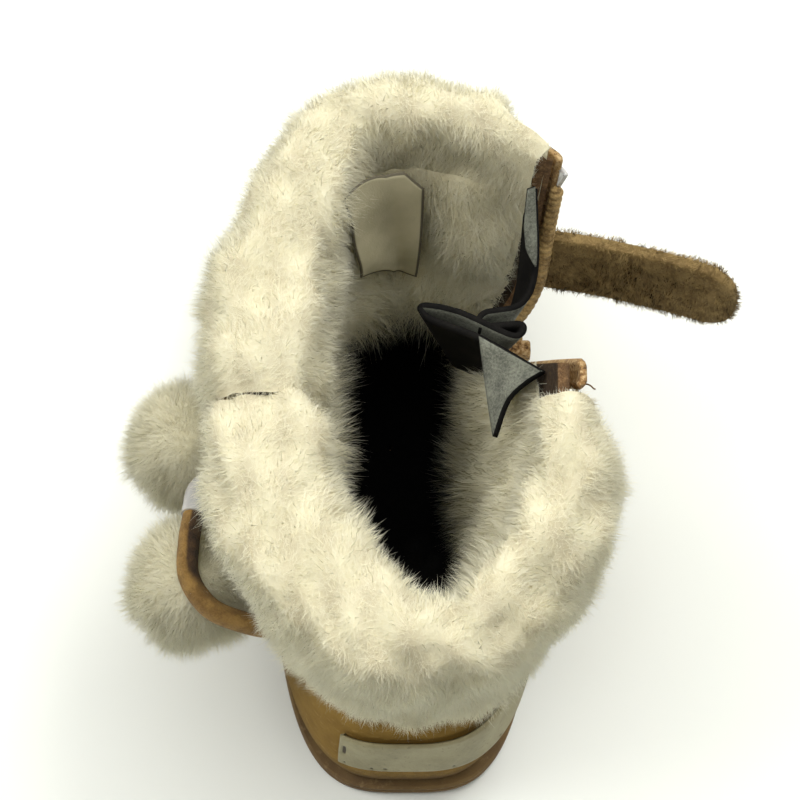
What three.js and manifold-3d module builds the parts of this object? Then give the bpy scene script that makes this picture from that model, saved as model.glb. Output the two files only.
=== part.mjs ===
// A child's fur-lined winter boot for the left foot, standing empty with its side slit open.
// Millimetres, +Z up, +Y towards the toe, +X towards the inner side of the foot.
// The origin is on the floor under the middle of the heel.
import * as THREE from 'three';
import { mergeVertices } from 'three/addons/utils/BufferGeometryUtils.js';
import Module from 'manifold-3d';

const wasm = await Module();
wasm.setup();

// Driving sizes
const GAP = 0.3; // clearance between pieces that meet
const WALL = 2.4; // leather with the hide of the lining
const SOLE_THICKNESS = 4;
const BALL_Y = 88; // the sole is flat from the heel to here
const TOE_Y = 132;
const TOE_SPRING = 4.5;
const TOE_OUT = 0.075; // the foot points out from the leg's line, mm per mm
const TOE_TURN = 6; // the toe's tip turns back towards the big toe
const ARCH = { y: 40, reach: 24, depth: 3 }; // waist on the inner side of the foot
// The open flap's free edge leans out: its angle and reach in degrees, and the height shares where
// that starts and is full
const FLAP_FLARE = { angle: 38, reach: 22, out: 10, from: 0.5, full: 0.85 };
const COLUMNS = 42; // columns round the upper
const RINGS = 15; // rings up the upper
const ROOT = 8; // how deep under the upper's surface the strap and the lace are cut off

// Levels of the upper from the sole to the collar. Back and front are the ends of the plan outline,
// rear and fore its half widths, heelZ and toeZ the heights of those ends, heelRound and toeRound the
// powers of the outline's two ends, and swing how far the level follows the foot's own line.
const LEVEL_COLUMNS = ['back', 'front', 'rear', 'fore', 'heelZ', 'toeZ', 'heelRound', 'toeRound', 'swing'];
const UPPER_LEVELS = [
  [-28.6, 129, 26, 33, 4.4, 4.4, 3.4, 2.6, 1], // feather line
  [-30.6, 131, 28, 35, 14, 14, 3.3, 2.6, 1], // bulge
  [-29.6, 129.5, 27.6, 34.4, 26, 23, 3.2, 2.6, 1], // side
  [-28.2, 123, 26.8, 32, 36, 32, 3, 2.5, 1], // toe edge
  [-27.2, 110, 25.4, 27.6, 44, 38, 2.7, 2.3, 0.9], // toe top
  [-26.6, 94, 25.2, 24.4, 51, 44.5, 2.5, 2.15, 0.7], // vamp
  [-26.6, 79, 25.4, 23, 58, 52, 2.3, 2.05, 0.4], // instep
  [-27.5, 69, 26.2, 23.5, 66, 62, 2.1, 2, 0.2], // ankle
  [-29.5, 68, 28.2, 26, 76, 79, 2, 2, 0], // shaft
  [-32.5, 73, 31, 30, 91, 103, 2, 2, 0], // collar
];

// The outsole's edge from the floor up, as insets from the widest line.
const SOLE_PLAN = {
  back: -30.6,
  front: TOE_Y,
  rear: 27.8,
  fore: 35.4,
  heelRound: 3.4,
  toeRound: 2.6,
  swing: 1,
};
const SOLE_EDGE = [
  { inset: 1.4, z: 0 },
  { inset: 0.2, z: 1.2 },
  { inset: 0, z: 2.6 },
  { inset: 0.6, z: SOLE_THICKNESS },
];
// Inner rings of the sole's two faces, as shares of the outline. The second ends where the toe spring starts.
const SOLE_RINGS = [0.75, 0.46];
const LUGS = { first: -21, pitch: 12, count: 12, groove: 2.6, depth: 1.3, border: 6, padFrom: -9, padTo: 11 };
const INSOLE = { thickness: 3, inset: 1, columns: 30 };

// The slit on the inner side, seen from that side
const SLIT = {
  frontTopY: 62,
  frontTopZ: 101,
  rearTopY: 20.5,
  rearTopZ: 97,
  footY: 49,
  footZ: 48,
  footHalf: 2.5,
};
const SLIT_TOP_Z = 130;
const SLIT_REACH = { from: 7, to: 60 };
const FACING = { width: 4, thickness: 1.4, lift: 0.5 };

// Sheepskin cuffs. Angles run from the toe round by the inner side, in degrees.
// On the front flap the turned-down fur thins out and leaves the slit's facing bare.
const FRONT_CUFF = { from: -97, to: 33, columns: 17, thinFrom: 12, bareFrom: 28 };
const REAR_CUFF = { from: 95.5, to: 261, columns: 21 };
const FUR = { out: 10.4, inside: 6.5, deepest: 240, deepExtra: 6, crest: 6.5, endRound: 9, endFull: 0.55 };
const SKIRT = { side: 0.78, back: 0.55, from: 0.6 }; // where the turned-down fur ends, as shares of the upper
const LINING_EDGE = 0.84; // where the cuff's inner face meets the lining
const SKIRT_PROFILE = [
  { up: 0, out: 0.4 },
  { up: 0.1, out: 0.78 },
  { up: 0.35, out: 1 },
  { up: 0.7, out: 1.05 },
  { up: 1, out: 0.9 },
];
const CREST_PROFILE = [
  { out: 0.5, up: 0.72 },
  { out: 0, up: 1 },
  { out: -0.6, up: 0.85 },
];
const INNER_PROFILE = [
  { up: 1, inside: 1 },
  { up: 0.5, inside: 0.95 },
  { up: 0, inside: 0.5 },
];
const CLOSING_STEPS = [0, 0.5, 1]; // down the middle of the wall, from the lining's edge to the skirt's
// The deep wool inside, between two height shares. It is deepest over the instep, where it hangs down in
// front, and thins out in the toe. It stands off from the leather, the slit and the gusset, has so many
// ripples round the foot and gives way to the leg and the foot.
const LINING = {
  low: 0.075,
  high: 0.815,
  side: 5.4,
  least: 0.7,
  toe: 2,
  toeFrom: 75,
  toeTo: 95,
  instep: { extra: 6, share: 0.68, reach: 0.13, turn: 50 },
  standOff: 1.5,
  slitMargin: 4,
  gussetMargin: 2,
  ripple: 0.14,
  ripples: 9,
  columns: 20,
  outerRows: 7,
  innerRows: 5,
};
// The space that is kept free inside: the corners of boxes round the leg, the ankle, the foot and the toes
const ROOM = [
  { low: { x: -6, y: -8, z: 57 }, high: { x: 12, y: 26, z: 118 } },
  { low: { x: -15, y: -14, z: 12 }, high: { x: 15, y: 44, z: 56 } },
  { low: { x: -18, y: -12, z: 9 }, high: { x: 14, y: 104, z: 30 } },
  { low: { x: -24, y: 60, z: 9 }, high: { x: 14, y: 104, z: 30 } },
];
const ROOM_MARGIN = 2.5; // by how much the wool gives way to them
const LOCK = { radius: 3.6, height: 6, sides: 4, sunk: 1.6, firstRow: 2, every: 4, lean: 0.9 };

// The gusset's top edge, fold by fold from the front flap to the rear edge. Low is how far down the
// sheet reaches there, on its way to the foot of the slit.
const GUSSET = { thickness: 1.5, footX: 13, footY: 43, footZ: 47, stepsPerFold: 3 };
const GUSSET_FOLDS = [
  { x: 24.6, y: 58.4, z: 96, low: 84 },
  { x: 25.4, y: 47, z: 87, low: 74 },
  { x: 22.6, y: 41.4, z: 83, low: 66 },
  { x: 15.5, y: 40.5, z: 81, low: 58 },
  { x: 15, y: 37.6, z: 81, low: 57 },
  { x: 22.6, y: 37.4, z: 82, low: 57 },
  { x: 21, y: 34.8, z: 82, low: 57 },
  { x: 10.5, y: 39.5, z: 83, low: 57 },
  { x: 3.4, y: 41, z: 83, low: 58 },
  { x: 4.6, y: 38.2, z: 83, low: 58 },
  { x: 14.4, y: 32.6, z: 85, low: 58 },
  { x: 25.5, y: 27, z: 90, low: 64 },
  { x: 25, y: 24.4, z: 90, low: 64 },
  { x: 19.5, y: 20.4, z: 87, low: 62 },
  { x: 16.8, y: 13.6, z: 82, low: 66 },
];

// The closure strap's middle line from the flap to its tip
const STRAP = { width: 19, thickness: 4, tipRadius: 8, steps: 14 };
const STRAP_ROUTE = [
  { x: 22, y: 59.6, z: 71 },
  { x: 29, y: 58.8, z: 71 },
  { x: 38, y: 57.2, z: 71 },
  { x: 48, y: 55, z: 70.4 },
  { x: 58, y: 52.6, z: 69.4 },
  { x: 67, y: 50, z: 68 },
];

const HEEL_STRIP = { from: 112, to: 197, low: 0.155, high: 0.265, thickness: 1.4, columns: 14, rows: 3 };
// Clear tips over the facing's two top ends: how far below and behind each end of the slit they sit
const GUARD = { thickness: 1, width: 3.4, height: 6, below: 5, frontBack: 0.4, rearBack: 1 };

// Lace and pompoms hang under the rear cuff on the outer side of the foot
const LACE = { diameter: 4.2, sides: 8, steps: 16 };
const LACE_ROUTE = [
  { x: -18.8, y: -15, z: 55 },
  { x: -26, y: -16, z: 57 },
  { x: -31.5, y: -16, z: 60 },
  { x: -37.5, y: -14.5, z: 63.5 },
  { x: -41.4, y: -9.5, z: 66.5 },
  { x: -41.6, y: -3, z: 68 },
  { x: -40.8, y: 3.5, z: 68 },
  { x: -40, y: 9.6, z: 65.5 },
  { x: -36.6, y: 12.8, z: 63 },
  { x: -30.5, y: 13, z: 61.4 },
  { x: -22, y: 12.4, z: 60.4 },
];
const POMPOM = { core: 12.4, detail: 2, lock: 4.8, locks: 12, tip: 15.4 };
const POMPOMS = [
  { name: 'pompom_rear', x: -41.6, y: -5, z: 53.2 },
  { name: 'pompom_front', x: -43.4, y: 23.2, z: 57.4 },
];

const COLOURS = {
  nubuck: 0xb07a3c,
  rubber: 0x8a4f28,
  insole: 0x121214,
  fur: 0xeadfcf,
  gusset: 0x26262a,
  loop: 0x5b4526,
  facing: 0xa8753f,
  strip: 0xe6dabd,
  clear: 0xe8eaec,
  lace: 0xa0682c,
};

const lerp = THREE.MathUtils.lerp;
const smooth = (t) => THREE.MathUtils.smoothstep(t, 0, 1);
const radians = THREE.MathUtils.degToRad;
const vector = ({ x, y, z }) => new THREE.Vector3(x, y, z);
const UP = new THREE.Vector3(0, 0, 1);
const anglesRound = (count) => Array.from({ length: count }, (_, i) => (2 * Math.PI * i) / count);

// Geometry helpers

// One closed solid through closed sections of equal count: joined end to end, or capped at both ends.
// The caps are laid flat on the direction across the section and the vertical.
function loft(sections, { ring = false, across = null } = {}) {
  const count = sections[0].length;
  const indices = [];
  const spans = ring ? sections.length : sections.length - 1;
  for (let i = 0; i < spans; i += 1) {
    const here = i * count;
    const next = ((i + 1) % sections.length) * count;
    for (let j = 0; j < count; j += 1) {
      const k = (j + 1) % count;
      indices.push(here + j, next + j, next + k, here + j, next + k, here + k);
    }
  }
  if (!ring) {
    const cap = (index, turned) => {
      const flat = sections[index].map((p) => new THREE.Vector2(p.dot(across[index]), p.z));
      const forward = THREE.ShapeUtils.area(flat) > 0;
      for (const [a, b, c] of THREE.ShapeUtils.triangulateShape(forward ? flat : [...flat].reverse(), [])) {
        const at = (n) => index * count + (forward ? n : count - 1 - n);
        const face = [at(a), at(b), at(c)];
        indices.push(...(forward === turned ? face.reverse() : face));
      }
    };
    cap(0, false);
    cap(sections.length - 1, true);
  }
  const geometry = new THREE.BufferGeometry().setFromPoints(sections.flat());
  geometry.setIndex(indices);
  return facedOut(geometry);
}

// Turns the faces round if they point in.
function facedOut(geometry) {
  const position = geometry.getAttribute('position');
  const corners = [new THREE.Vector3(), new THREE.Vector3(), new THREE.Vector3()];
  const index = Array.from(geometry.index.array);
  let volume = 0;
  for (let i = 0; i < index.length; i += 3) {
    corners.forEach((corner, n) => corner.fromBufferAttribute(position, index[i + n]));
    volume += corners[0].dot(corners[1].cross(corners[2]));
  }
  if (volume < 0) geometry.setIndex(index.reverse());
  return geometry;
}

function toSolid(geometry) {
  const bare = new THREE.BufferGeometry().setAttribute('position', geometry.getAttribute('position'));
  bare.setIndex(geometry.index);
  const merged = mergeVertices(bare, 1e-4);
  return new wasm.Manifold(
    new wasm.Mesh({
      numProp: 3,
      vertProperties: new Float32Array(merged.getAttribute('position').array),
      triVerts: new Uint32Array(merged.index.array),
    }),
  );
}

function toGeometry(solid) {
  const { vertProperties, triVerts } = solid.getMesh();
  const geometry = new THREE.BufferGeometry();
  geometry.setAttribute('position', new THREE.Float32BufferAttribute(vertProperties, 3));
  geometry.setIndex(Array.from(triVerts));
  return geometry;
}

const box = (x, y, z, centre) => new THREE.BoxGeometry(x, y, z).translate(centre.x, centre.y, centre.z);

// A cone whose base is sunk in a surface and whose tip points along a direction.
function lock(foot, direction, size) {
  const cone = new THREE.ConeGeometry(size.radius, size.height + size.sunk, size.sides);
  cone.translate(0, size.height / 2 - size.sunk / 2, 0);
  const turn = new THREE.Quaternion().setFromUnitVectors(new THREE.Vector3(0, 1, 0), direction);
  return toSolid(cone.applyQuaternion(turn).translate(foot.x, foot.y, foot.z));
}

// The last: plan outline and upper surface

const springAt = (y) => TOE_SPRING * Math.max(0, (y - BALL_Y) / (TOE_Y - BALL_Y)) ** 2;

// A point of a level's plan outline. Angle 0 is the toe, a quarter turn the inner side.
function planPoint(level, angle) {
  const power = 2 / (Math.cos(angle) < 0 ? level.heelRound : level.toeRound);
  const along = Math.sign(Math.cos(angle)) * Math.abs(Math.cos(angle)) ** power;
  const across = Math.sign(Math.sin(angle)) * Math.abs(Math.sin(angle)) ** power;
  const t = (1 + along) / 2;
  const y = lerp(level.back, level.front, t);
  const half = lerp(level.rear, level.fore, smooth(t));
  const turn = TOE_TURN * Math.max(0, (y - BALL_Y) / (TOE_Y - BALL_Y)) ** 2;
  const middle = (turn - TOE_OUT * Math.max(0, y)) * level.swing;
  const waist = across > 0 ? ARCH.depth * level.swing * Math.exp(-(((y - ARCH.y) / ARCH.reach) ** 2)) : 0;
  return { x: middle + (half - waist) * across, y, t };
}

// The upper's level at a height share from 0, the sole, to 1, the collar: a smooth curve through the rows.
function levelAt(share) {
  const last = UPPER_LEVELS.length - 1;
  const place = THREE.MathUtils.clamp(share, 0, 1) * last;
  const row = Math.min(Math.floor(place), last - 1);
  const rows = [row - 1, row, row + 1, row + 2].map((n) => UPPER_LEVELS[THREE.MathUtils.clamp(n, 0, last)]);
  const t = place - row;
  const level = {};
  LEVEL_COLUMNS.forEach((name, column) => {
    const [before, from, to, after] = rows.map((values) => values[column]);
    const rise = (to - before) / 2;
    const fall = (after - from) / 2;
    const lean = 3 * (to - from) - 2 * rise - fall;
    const bend = 2 * (from - to) + rise + fall;
    level[name] = from + t * (rise + t * (lean + t * bend));
  });
  return level;
}

function upperPoint(share, angle) {
  const level = levelAt(share);
  const { x, y, t } = planPoint(level, angle);
  const turned = angle - radians(FLAP_FLARE.angle) + Math.PI;
  const offset = THREE.MathUtils.euclideanModulo(turned, 2 * Math.PI) - Math.PI;
  const open = smooth((share - FLAP_FLARE.from) / (FLAP_FLARE.full - FLAP_FLARE.from));
  const flare = FLAP_FLARE.out * open * Math.exp(-((offset / radians(FLAP_FLARE.reach)) ** 2));
  return new THREE.Vector3(x + flare, y, lerp(level.heelZ, level.toeZ, t) + springAt(y));
}

// A point of the upper moved out along its own normal.
function onUpper(share, angle, out) {
  const step = 0.004;
  const low = Math.max(0, share - step);
  const high = Math.min(1, share + step);
  const rise = upperPoint(high, angle).sub(upperPoint(low, angle));
  const round = upperPoint(share, angle + step).sub(upperPoint(share, angle - step));
  const normal = rise.cross(round).normalize();
  return upperPoint(share, angle).addScaledVector(normal, out);
}

const outwards = (share, angle) => onUpper(share, angle, 1).sub(upperPoint(share, angle));

// The wall between two offsets of the upper's surface, all round, with its rim raised.
function upperWall(inner, outer, raised = 0) {
  const sections = [];
  for (const angle of anglesRound(COLUMNS)) {
    const outside = [];
    const inside = [];
    for (let j = 0; j <= RINGS; j += 1) {
      outside.push(onUpper(j / RINGS, angle, outer));
      inside.unshift(onUpper(j / RINGS, angle, inner));
    }
    outside[RINGS].z += raised;
    inside[0].z += raised;
    sections.push([...outside, ...inside]);
  }
  return loft(sections, { ring: true });
}

// A patch of the same wall between two angles and two height shares.
function upperPatch({ from, to, low, high, columns, rows }, inner, outer) {
  const sections = [];
  const across = [];
  for (let i = 0; i <= columns; i += 1) {
    const angle = radians(lerp(from, to, i / columns));
    const outside = [];
    const inside = [];
    for (let j = 0; j <= rows; j += 1) {
      outside.push(onUpper(lerp(low, high, j / rows), angle, outer));
      inside.unshift(onUpper(lerp(low, high, j / rows), angle, inner));
    }
    sections.push([...outside, ...inside]);
    across.push(outwards(low, angle).setZ(0).normalize());
  }
  return loft(sections, { across });
}

// Outsole and insole

// A plate with the sole's plan, its rim given by insets and heights, its faces following the toe spring.
function plate(outline, edge) {
  const centre = new THREE.Vector2();
  outline.forEach((p) => centre.add(new THREE.Vector2(p.x, p.y)));
  centre.divideScalar(outline.length);
  const ring = (share, inset, z) => outline.map((p) => {
    const away = new THREE.Vector2(p.x, p.y).sub(centre);
    away.multiplyScalar(share * (1 - inset / away.length()));
    const y = centre.y + away.y;
    return new THREE.Vector3(centre.x + away.x, y, z + springAt(y));
  });
  const first = edge[0];
  const last = edge[edge.length - 1];
  const rings = [
    ...[...SOLE_RINGS].reverse().map((share) => ring(share, first.inset, first.z)),
    ...edge.map(({ inset, z }) => ring(1, inset, z)),
    ...SOLE_RINGS.map((share) => ring(share, last.inset, last.z)),
  ];
  const count = outline.length;
  const points = rings.flat();
  const indices = [];
  for (let i = 0; i < rings.length - 1; i += 1) {
    for (let j = 0; j < count; j += 1) {
      const k = (j + 1) % count;
      const [a, b] = [i * count, (i + 1) * count];
      indices.push(a + j, a + k, b + k, a + j, b + k, b + j);
    }
  }
  const hub = (z) => new THREE.Vector3(centre.x, centre.y, z + springAt(centre.y));
  points.push(hub(first.z), hub(last.z));
  for (let j = 0; j < count; j += 1) {
    const k = (j + 1) % count;
    const top = (rings.length - 1) * count;
    indices.push(points.length - 2, k, j, points.length - 1, top + j, top + k);
  }
  const geometry = new THREE.BufferGeometry().setFromPoints(points);
  geometry.setIndex(indices);
  return facedOut(geometry);
}

function outsole() {
  const outline = anglesRound(COLUMNS).map((angle) => planPoint(SOLE_PLAN, angle));
  let sole = toSolid(plate(outline, SOLE_EDGE));
  for (let i = 0; i < LUGS.count; i += 1) {
    const y = LUGS.first + i * LUGS.pitch;
    if (y > LUGS.padFrom && y < LUGS.padTo) continue;
    const t = (y - SOLE_PLAN.back) / (SOLE_PLAN.front - SOLE_PLAN.back);
    const round = t < 0.5 ? SOLE_PLAN.heelRound : SOLE_PLAN.toeRound;
    const side = Math.acos(Math.sign(t - 0.5) * Math.abs(2 * t - 1) ** (round / 2));
    const inner = planPoint(SOLE_PLAN, side).x - LUGS.border;
    const outer = planPoint(SOLE_PLAN, -side).x + LUGS.border;
    const middle = { x: (inner + outer) / 2, y, z: springAt(y) };
    sole = sole.subtract(toSolid(box(inner - outer, LUGS.groove, 2 * LUGS.depth, middle)));
  }
  return toGeometry(sole);
}

function insole() {
  const outline = anglesRound(INSOLE.columns).map((angle) => onUpper(0, angle, -(WALL + INSOLE.inset)));
  const low = SOLE_THICKNESS + 2 * GAP;
  return plate(outline, [{ inset: 0, z: low }, { inset: 0, z: low + INSOLE.thickness }]);
}

// Upper with its slit

// The slit's outline seen from the inner side, widened by a margin, as a block across the wall.
function slitBlock(margin) {
  const line = (topY, topZ, footY) => {
    const slope = (topY - footY) / (topZ - SLIT.footZ);
    return footY + slope * (SLIT_TOP_Z - SLIT.footZ);
  };
  const rearFoot = SLIT.footY - SLIT.footHalf - margin;
  const frontFoot = SLIT.footY + SLIT.footHalf + margin;
  const shape = new THREE.Shape();
  shape.moveTo(line(SLIT.rearTopY - margin, SLIT.rearTopZ, rearFoot), SLIT_TOP_Z);
  shape.lineTo(rearFoot, SLIT.footZ);
  shape.quadraticCurveTo(SLIT.footY, SLIT.footZ - 2 * SLIT.footHalf - 2 * margin, frontFoot, SLIT.footZ);
  shape.lineTo(line(SLIT.frontTopY + margin, SLIT.frontTopZ, frontFoot), SLIT_TOP_Z);
  const depth = SLIT_REACH.to - SLIT_REACH.from;
  const block = new THREE.ExtrudeGeometry(shape, { depth, bevelEnabled: false, curveSegments: 4 });
  const turn = new THREE.Matrix4().makeBasis(new THREE.Vector3(0, 1, 0), UP, new THREE.Vector3(1, 0, 0));
  block.deleteAttribute('normal');
  block.deleteAttribute('uv');
  return toSolid(mergeVertices(block.applyMatrix4(turn).translate(SLIT_REACH.from, 0, 0)));
}

const upper = () => toGeometry(toSolid(upperWall(-WALL, 0)).subtract(slitBlock(0)));

// The boxes of the free space, widened by a margin
const room = (margin) => ROOM.map(({ low, high }) => {
  return new THREE.Box3(vector(low), vector(high)).expandByScalar(margin);
});

// How deep the lining's wool is
function woolDepth(share, angle, spaces) {
  const ripple = 1 + LINING.ripple * Math.sin(LINING.ripples * angle + 2 * LINING.ripples * share);
  const toe = smooth((upperPoint(share, angle).y - LINING.toeFrom) / (LINING.toeTo - LINING.toeFrom));
  const { extra, share: middle, reach, turn } = LINING.instep;
  const round = Math.exp(-((Math.sin(angle / 2) / Math.sin(radians(turn) / 2)) ** 2));
  const front = extra * round * Math.exp(-(((share - middle) / reach) ** 2));
  const full = lerp(LINING.side * ripple, LINING.toe, toe) + front;
  const taken = (depth) => {
    const point = onUpper(share, angle, -(WALL + LINING.standOff + depth));
    return spaces.some((space) => space.containsPoint(point));
  };
  let depth = full;
  while (depth > LINING.least && taken(depth)) depth -= 0.1;
  return depth;
}

function lining() {
  const outer = -(WALL + LINING.standOff);
  const spaces = room(ROOM_MARGIN);
  const sections = anglesRound(LINING.columns).map((angle) => {
    const column = (rows, out) => Array.from({ length: rows + 1 }, (_, j) => {
      const share = lerp(LINING.low, LINING.high, j / rows);
      return onUpper(share, angle, out(share));
    });
    const inside = column(LINING.innerRows, (share) => outer - woolDepth(share, angle, spaces));
    return [...column(LINING.outerRows, () => outer), ...inside.reverse()];
  });
  let wool = toSolid(loft(sections, { ring: true })).subtract(slitBlock(LINING.slitMargin));
  const rear = GUSSET_FOLDS[GUSSET_FOLDS.length - 1];
  const low = Math.min(...GUSSET_FOLDS.map((fold) => fold.low)) - LINING.gussetMargin;
  const from = rear.y - LINING.gussetMargin;
  const x = SLIT_REACH.from + SLIT_REACH.to / 2;
  const centre = { x, y: (from + SLIT.footY) / 2, z: (low + SLIT_TOP_Z) / 2 };
  const besideGusset = box(SLIT_REACH.to, SLIT.footY - from, SLIT_TOP_Z - low, centre);
  wool = wool.subtract(toSolid(besideGusset));
  for (const space of room(GAP)) {
    const { x: width, y: length, z: height } = space.getSize(new THREE.Vector3());
    wool = wool.subtract(toSolid(box(width, length, height, space.getCenter(new THREE.Vector3()))));
  }
  return toGeometry(wool);
}

function slitFacing() {
  const skin = toSolid(upperWall(FACING.lift, FACING.lift + FACING.thickness));
  return toGeometry(skin.intersect(slitBlock(FACING.width)).subtract(slitBlock(0)));
}

// A clear tip over the facing, near one top end of the slit
function cornerGuard(y, topZ) {
  const over = FACING.lift + FACING.thickness + GAP;
  const skin = toSolid(upperWall(over, over + GUARD.thickness));
  const depth = SLIT_REACH.to - SLIT_REACH.from;
  const centre = { x: SLIT_REACH.from + depth / 2, y, z: topZ - GUARD.below };
  return toGeometry(skin.intersect(toSolid(box(depth, GUARD.width, GUARD.height, centre))));
}

// Sheepskin cuffs

function skirtShare(angle) {
  const towardsHeel = (-Math.cos(angle) - SKIRT.from) / (1 - SKIRT.from);
  return lerp(SKIRT.side, SKIRT.back, smooth(towardsHeel));
}

// One section of a cuff, up the outside, over the crest and down the inside, closed inside the wall.
function cuffSection(angle, fullness, bare) {
  const skirt = skirtShare(angle);
  const out = lerp(FUR.out * fullness, -WALL / 2, bare);
  const deep = Math.max(0, Math.cos(angle - radians(FUR.deepest)));
  const inside = (FUR.inside + FUR.deepExtra * deep) * fullness;
  const rim = upperPoint(1, angle);
  const normal = outwards(1, angle).setZ(0).normalize();
  const hair = [
    ...SKIRT_PROFILE.map((row) => onUpper(lerp(skirt, 1, row.up), angle, GAP + row.out * out)),
    ...CREST_PROFILE.map((row) => {
      const reach = row.out > 0 ? row.out * out : row.out * (WALL + inside);
      const rise = GAP + row.up * FUR.crest * fullness;
      return rim.clone().addScaledVector(normal, reach).addScaledVector(UP, rise);
    }),
    ...INNER_PROFILE.map((row) => {
      return onUpper(lerp(LINING_EDGE, 1, row.up), angle, -(WALL + GAP + row.inside * inside));
    }),
  ];
  const closing = CLOSING_STEPS.map((down) => onUpper(lerp(LINING_EDGE, skirt, down), angle, -WALL / 2));
  return { hair, closing };
}

// A cuff with its locks, cut to fit over the wall.
function furCuff({ from, to, columns, thinFrom = to, bareFrom = to + 1 }) {
  const sections = [];
  const across = [];
  const locks = [];
  for (let i = 0; i <= columns; i += 1) {
    const degrees = lerp(from, to, i / columns);
    const angle = radians(degrees);
    const fromEnd = Math.min(degrees - from, to - degrees);
    const fullness = lerp(FUR.endFull, 1, Math.sqrt(smooth(fromEnd / FUR.endRound)));
    const bare = smooth((degrees - thinFrom) / (bareFrom - thinFrom));
    const { hair, closing } = cuffSection(angle, fullness, bare);
    sections.push([...hair, ...closing]);
    across.push(outwards(1, angle).setZ(0).normalize());
    if (fullness < 1 || bare > 0) continue;
    const along = new THREE.Vector3().crossVectors(across[i], UP);
    for (let row = LOCK.firstRow + (i % LOCK.every); row < hair.length - 1; row += LOCK.every) {
      const flow = new THREE.Vector3().subVectors(hair[row + 1], hair[row - 1]).normalize();
      const normal = new THREE.Vector3().crossVectors(flow, along).normalize();
      if (row < SKIRT_PROFILE.length) flow.negate();
      locks.push(lock(hair[row], normal.addScaledVector(flow, LOCK.lean).normalize(), LOCK));
    }
  }
  const roll = toSolid(loft(sections, { across }));
  const furred = locks.reduce((solid, tuft) => solid.add(tuft), roll);
  const wall = toSolid(upperWall(-WALL - GAP, GAP, GAP));
  return toGeometry(furred.subtract(wall));
}

// Strip along a route, standing on edge

function strip(points, halfThickness, edges) {
  const sections = [];
  const across = [];
  points.forEach((point, i) => {
    const before = points[Math.max(0, i - 1)];
    const after = points[Math.min(points.length - 1, i + 1)];
    const side = new THREE.Vector3().subVectors(after, before).setZ(0).normalize().cross(UP);
    across.push(side);
    const [near, far] = [halfThickness, -halfThickness].map((reach) => {
      return edges(point, i).map((place) => place.clone().addScaledVector(side, reach));
    });
    sections.push([...near, ...far.reverse()]);
  });
  return loft(sections, { across });
}

function gusset() {
  const foot = new THREE.Vector3(GUSSET.footX, GUSSET.footY, GUSSET.footZ);
  const lows = GUSSET_FOLDS.map((row) => {
    return foot.clone().lerp(vector(row), (row.low - foot.z) / (row.z - foot.z));
  });
  const topEdge = new THREE.CatmullRomCurve3(GUSSET_FOLDS.map(vector), false, 'catmullrom');
  const lowEdge = new THREE.CatmullRomCurve3(lows, false, 'catmullrom');
  const steps = (GUSSET_FOLDS.length - 1) * GUSSET.stepsPerFold;
  const tops = topEdge.getPoints(steps);
  const bottoms = lowEdge.getPoints(steps);
  return strip(tops, GUSSET.thickness / 2, (top, i) => [top, top.clone().lerp(bottoms[i], 0.5), bottoms[i]]);
}

function closureStrap() {
  const curve = new THREE.CatmullRomCurve3(STRAP_ROUTE.map(vector));
  const points = curve.getSpacedPoints(STRAP.steps);
  const length = curve.getLength();
  const whole = strip(points, STRAP.thickness / 2, (middle, i) => {
    const toTip = length * (1 - i / STRAP.steps);
    const cut = Math.max(0, STRAP.tipRadius - toTip);
    const round = STRAP.tipRadius - Math.sqrt(STRAP.tipRadius ** 2 - cut ** 2);
    const half = STRAP.width / 2 - round;
    return [half, 0, -half].map((rise) => middle.clone().addScaledVector(UP, rise));
  });
  const flap = toSolid(upperWall(-ROOT, FACING.lift + FACING.thickness + GAP));
  return toGeometry(toSolid(whole).subtract(flap));
}

// Lace and pompoms

// The lace's round body along its route
function laceTube(diameter) {
  const curve = new THREE.CatmullRomCurve3(LACE_ROUTE.map(vector));
  const round = new THREE.EllipseCurve(0, 0, diameter / 2, diameter / 2);
  const section = new THREE.Shape(round.getPoints(LACE.sides));
  const tube = new THREE.ExtrudeGeometry(section, { steps: LACE.steps, extrudePath: curve });
  tube.deleteAttribute('normal');
  tube.deleteAttribute('uv');
  return toSolid(mergeVertices(tube));
}

// The lace, cut off where it meets the leather
function lace() {
  return toGeometry(laceTube(LACE.diameter).subtract(toSolid(upperWall(-ROOT, GAP))));
}

function pompom(place) {
  const centre = vector(place);
  const ball = new THREE.IcosahedronGeometry(POMPOM.core, POMPOM.detail);
  ball.deleteAttribute('normal');
  ball.deleteAttribute('uv');
  let solid = toSolid(mergeVertices(ball.translate(centre.x, centre.y, centre.z)));
  const size = { radius: POMPOM.lock, height: POMPOM.tip - POMPOM.core, sides: LOCK.sides, sunk: LOCK.sunk };
  const turn = Math.PI * (3 - Math.sqrt(5));
  for (let i = 0; i < POMPOM.locks; i += 1) {
    const z = 1 - (2 * i + 1) / POMPOM.locks;
    const flat = Math.sqrt(1 - z * z);
    const direction = new THREE.Vector3(flat * Math.cos(i * turn), flat * Math.sin(i * turn), z);
    solid = solid.add(lock(centre.clone().addScaledVector(direction, POMPOM.core), direction, size));
  }
  return toGeometry(solid.subtract(laceTube(LACE.diameter + 3 * GAP)));
}

// Assembly

const boot = new THREE.Group();

function add(name, geometry, colour, roughness) {
  const material = new THREE.MeshStandardMaterial({ color: colour, roughness, metalness: 0 });
  const mesh = new THREE.Mesh(geometry, material);
  mesh.name = name;
  boot.add(mesh);
}

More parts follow.
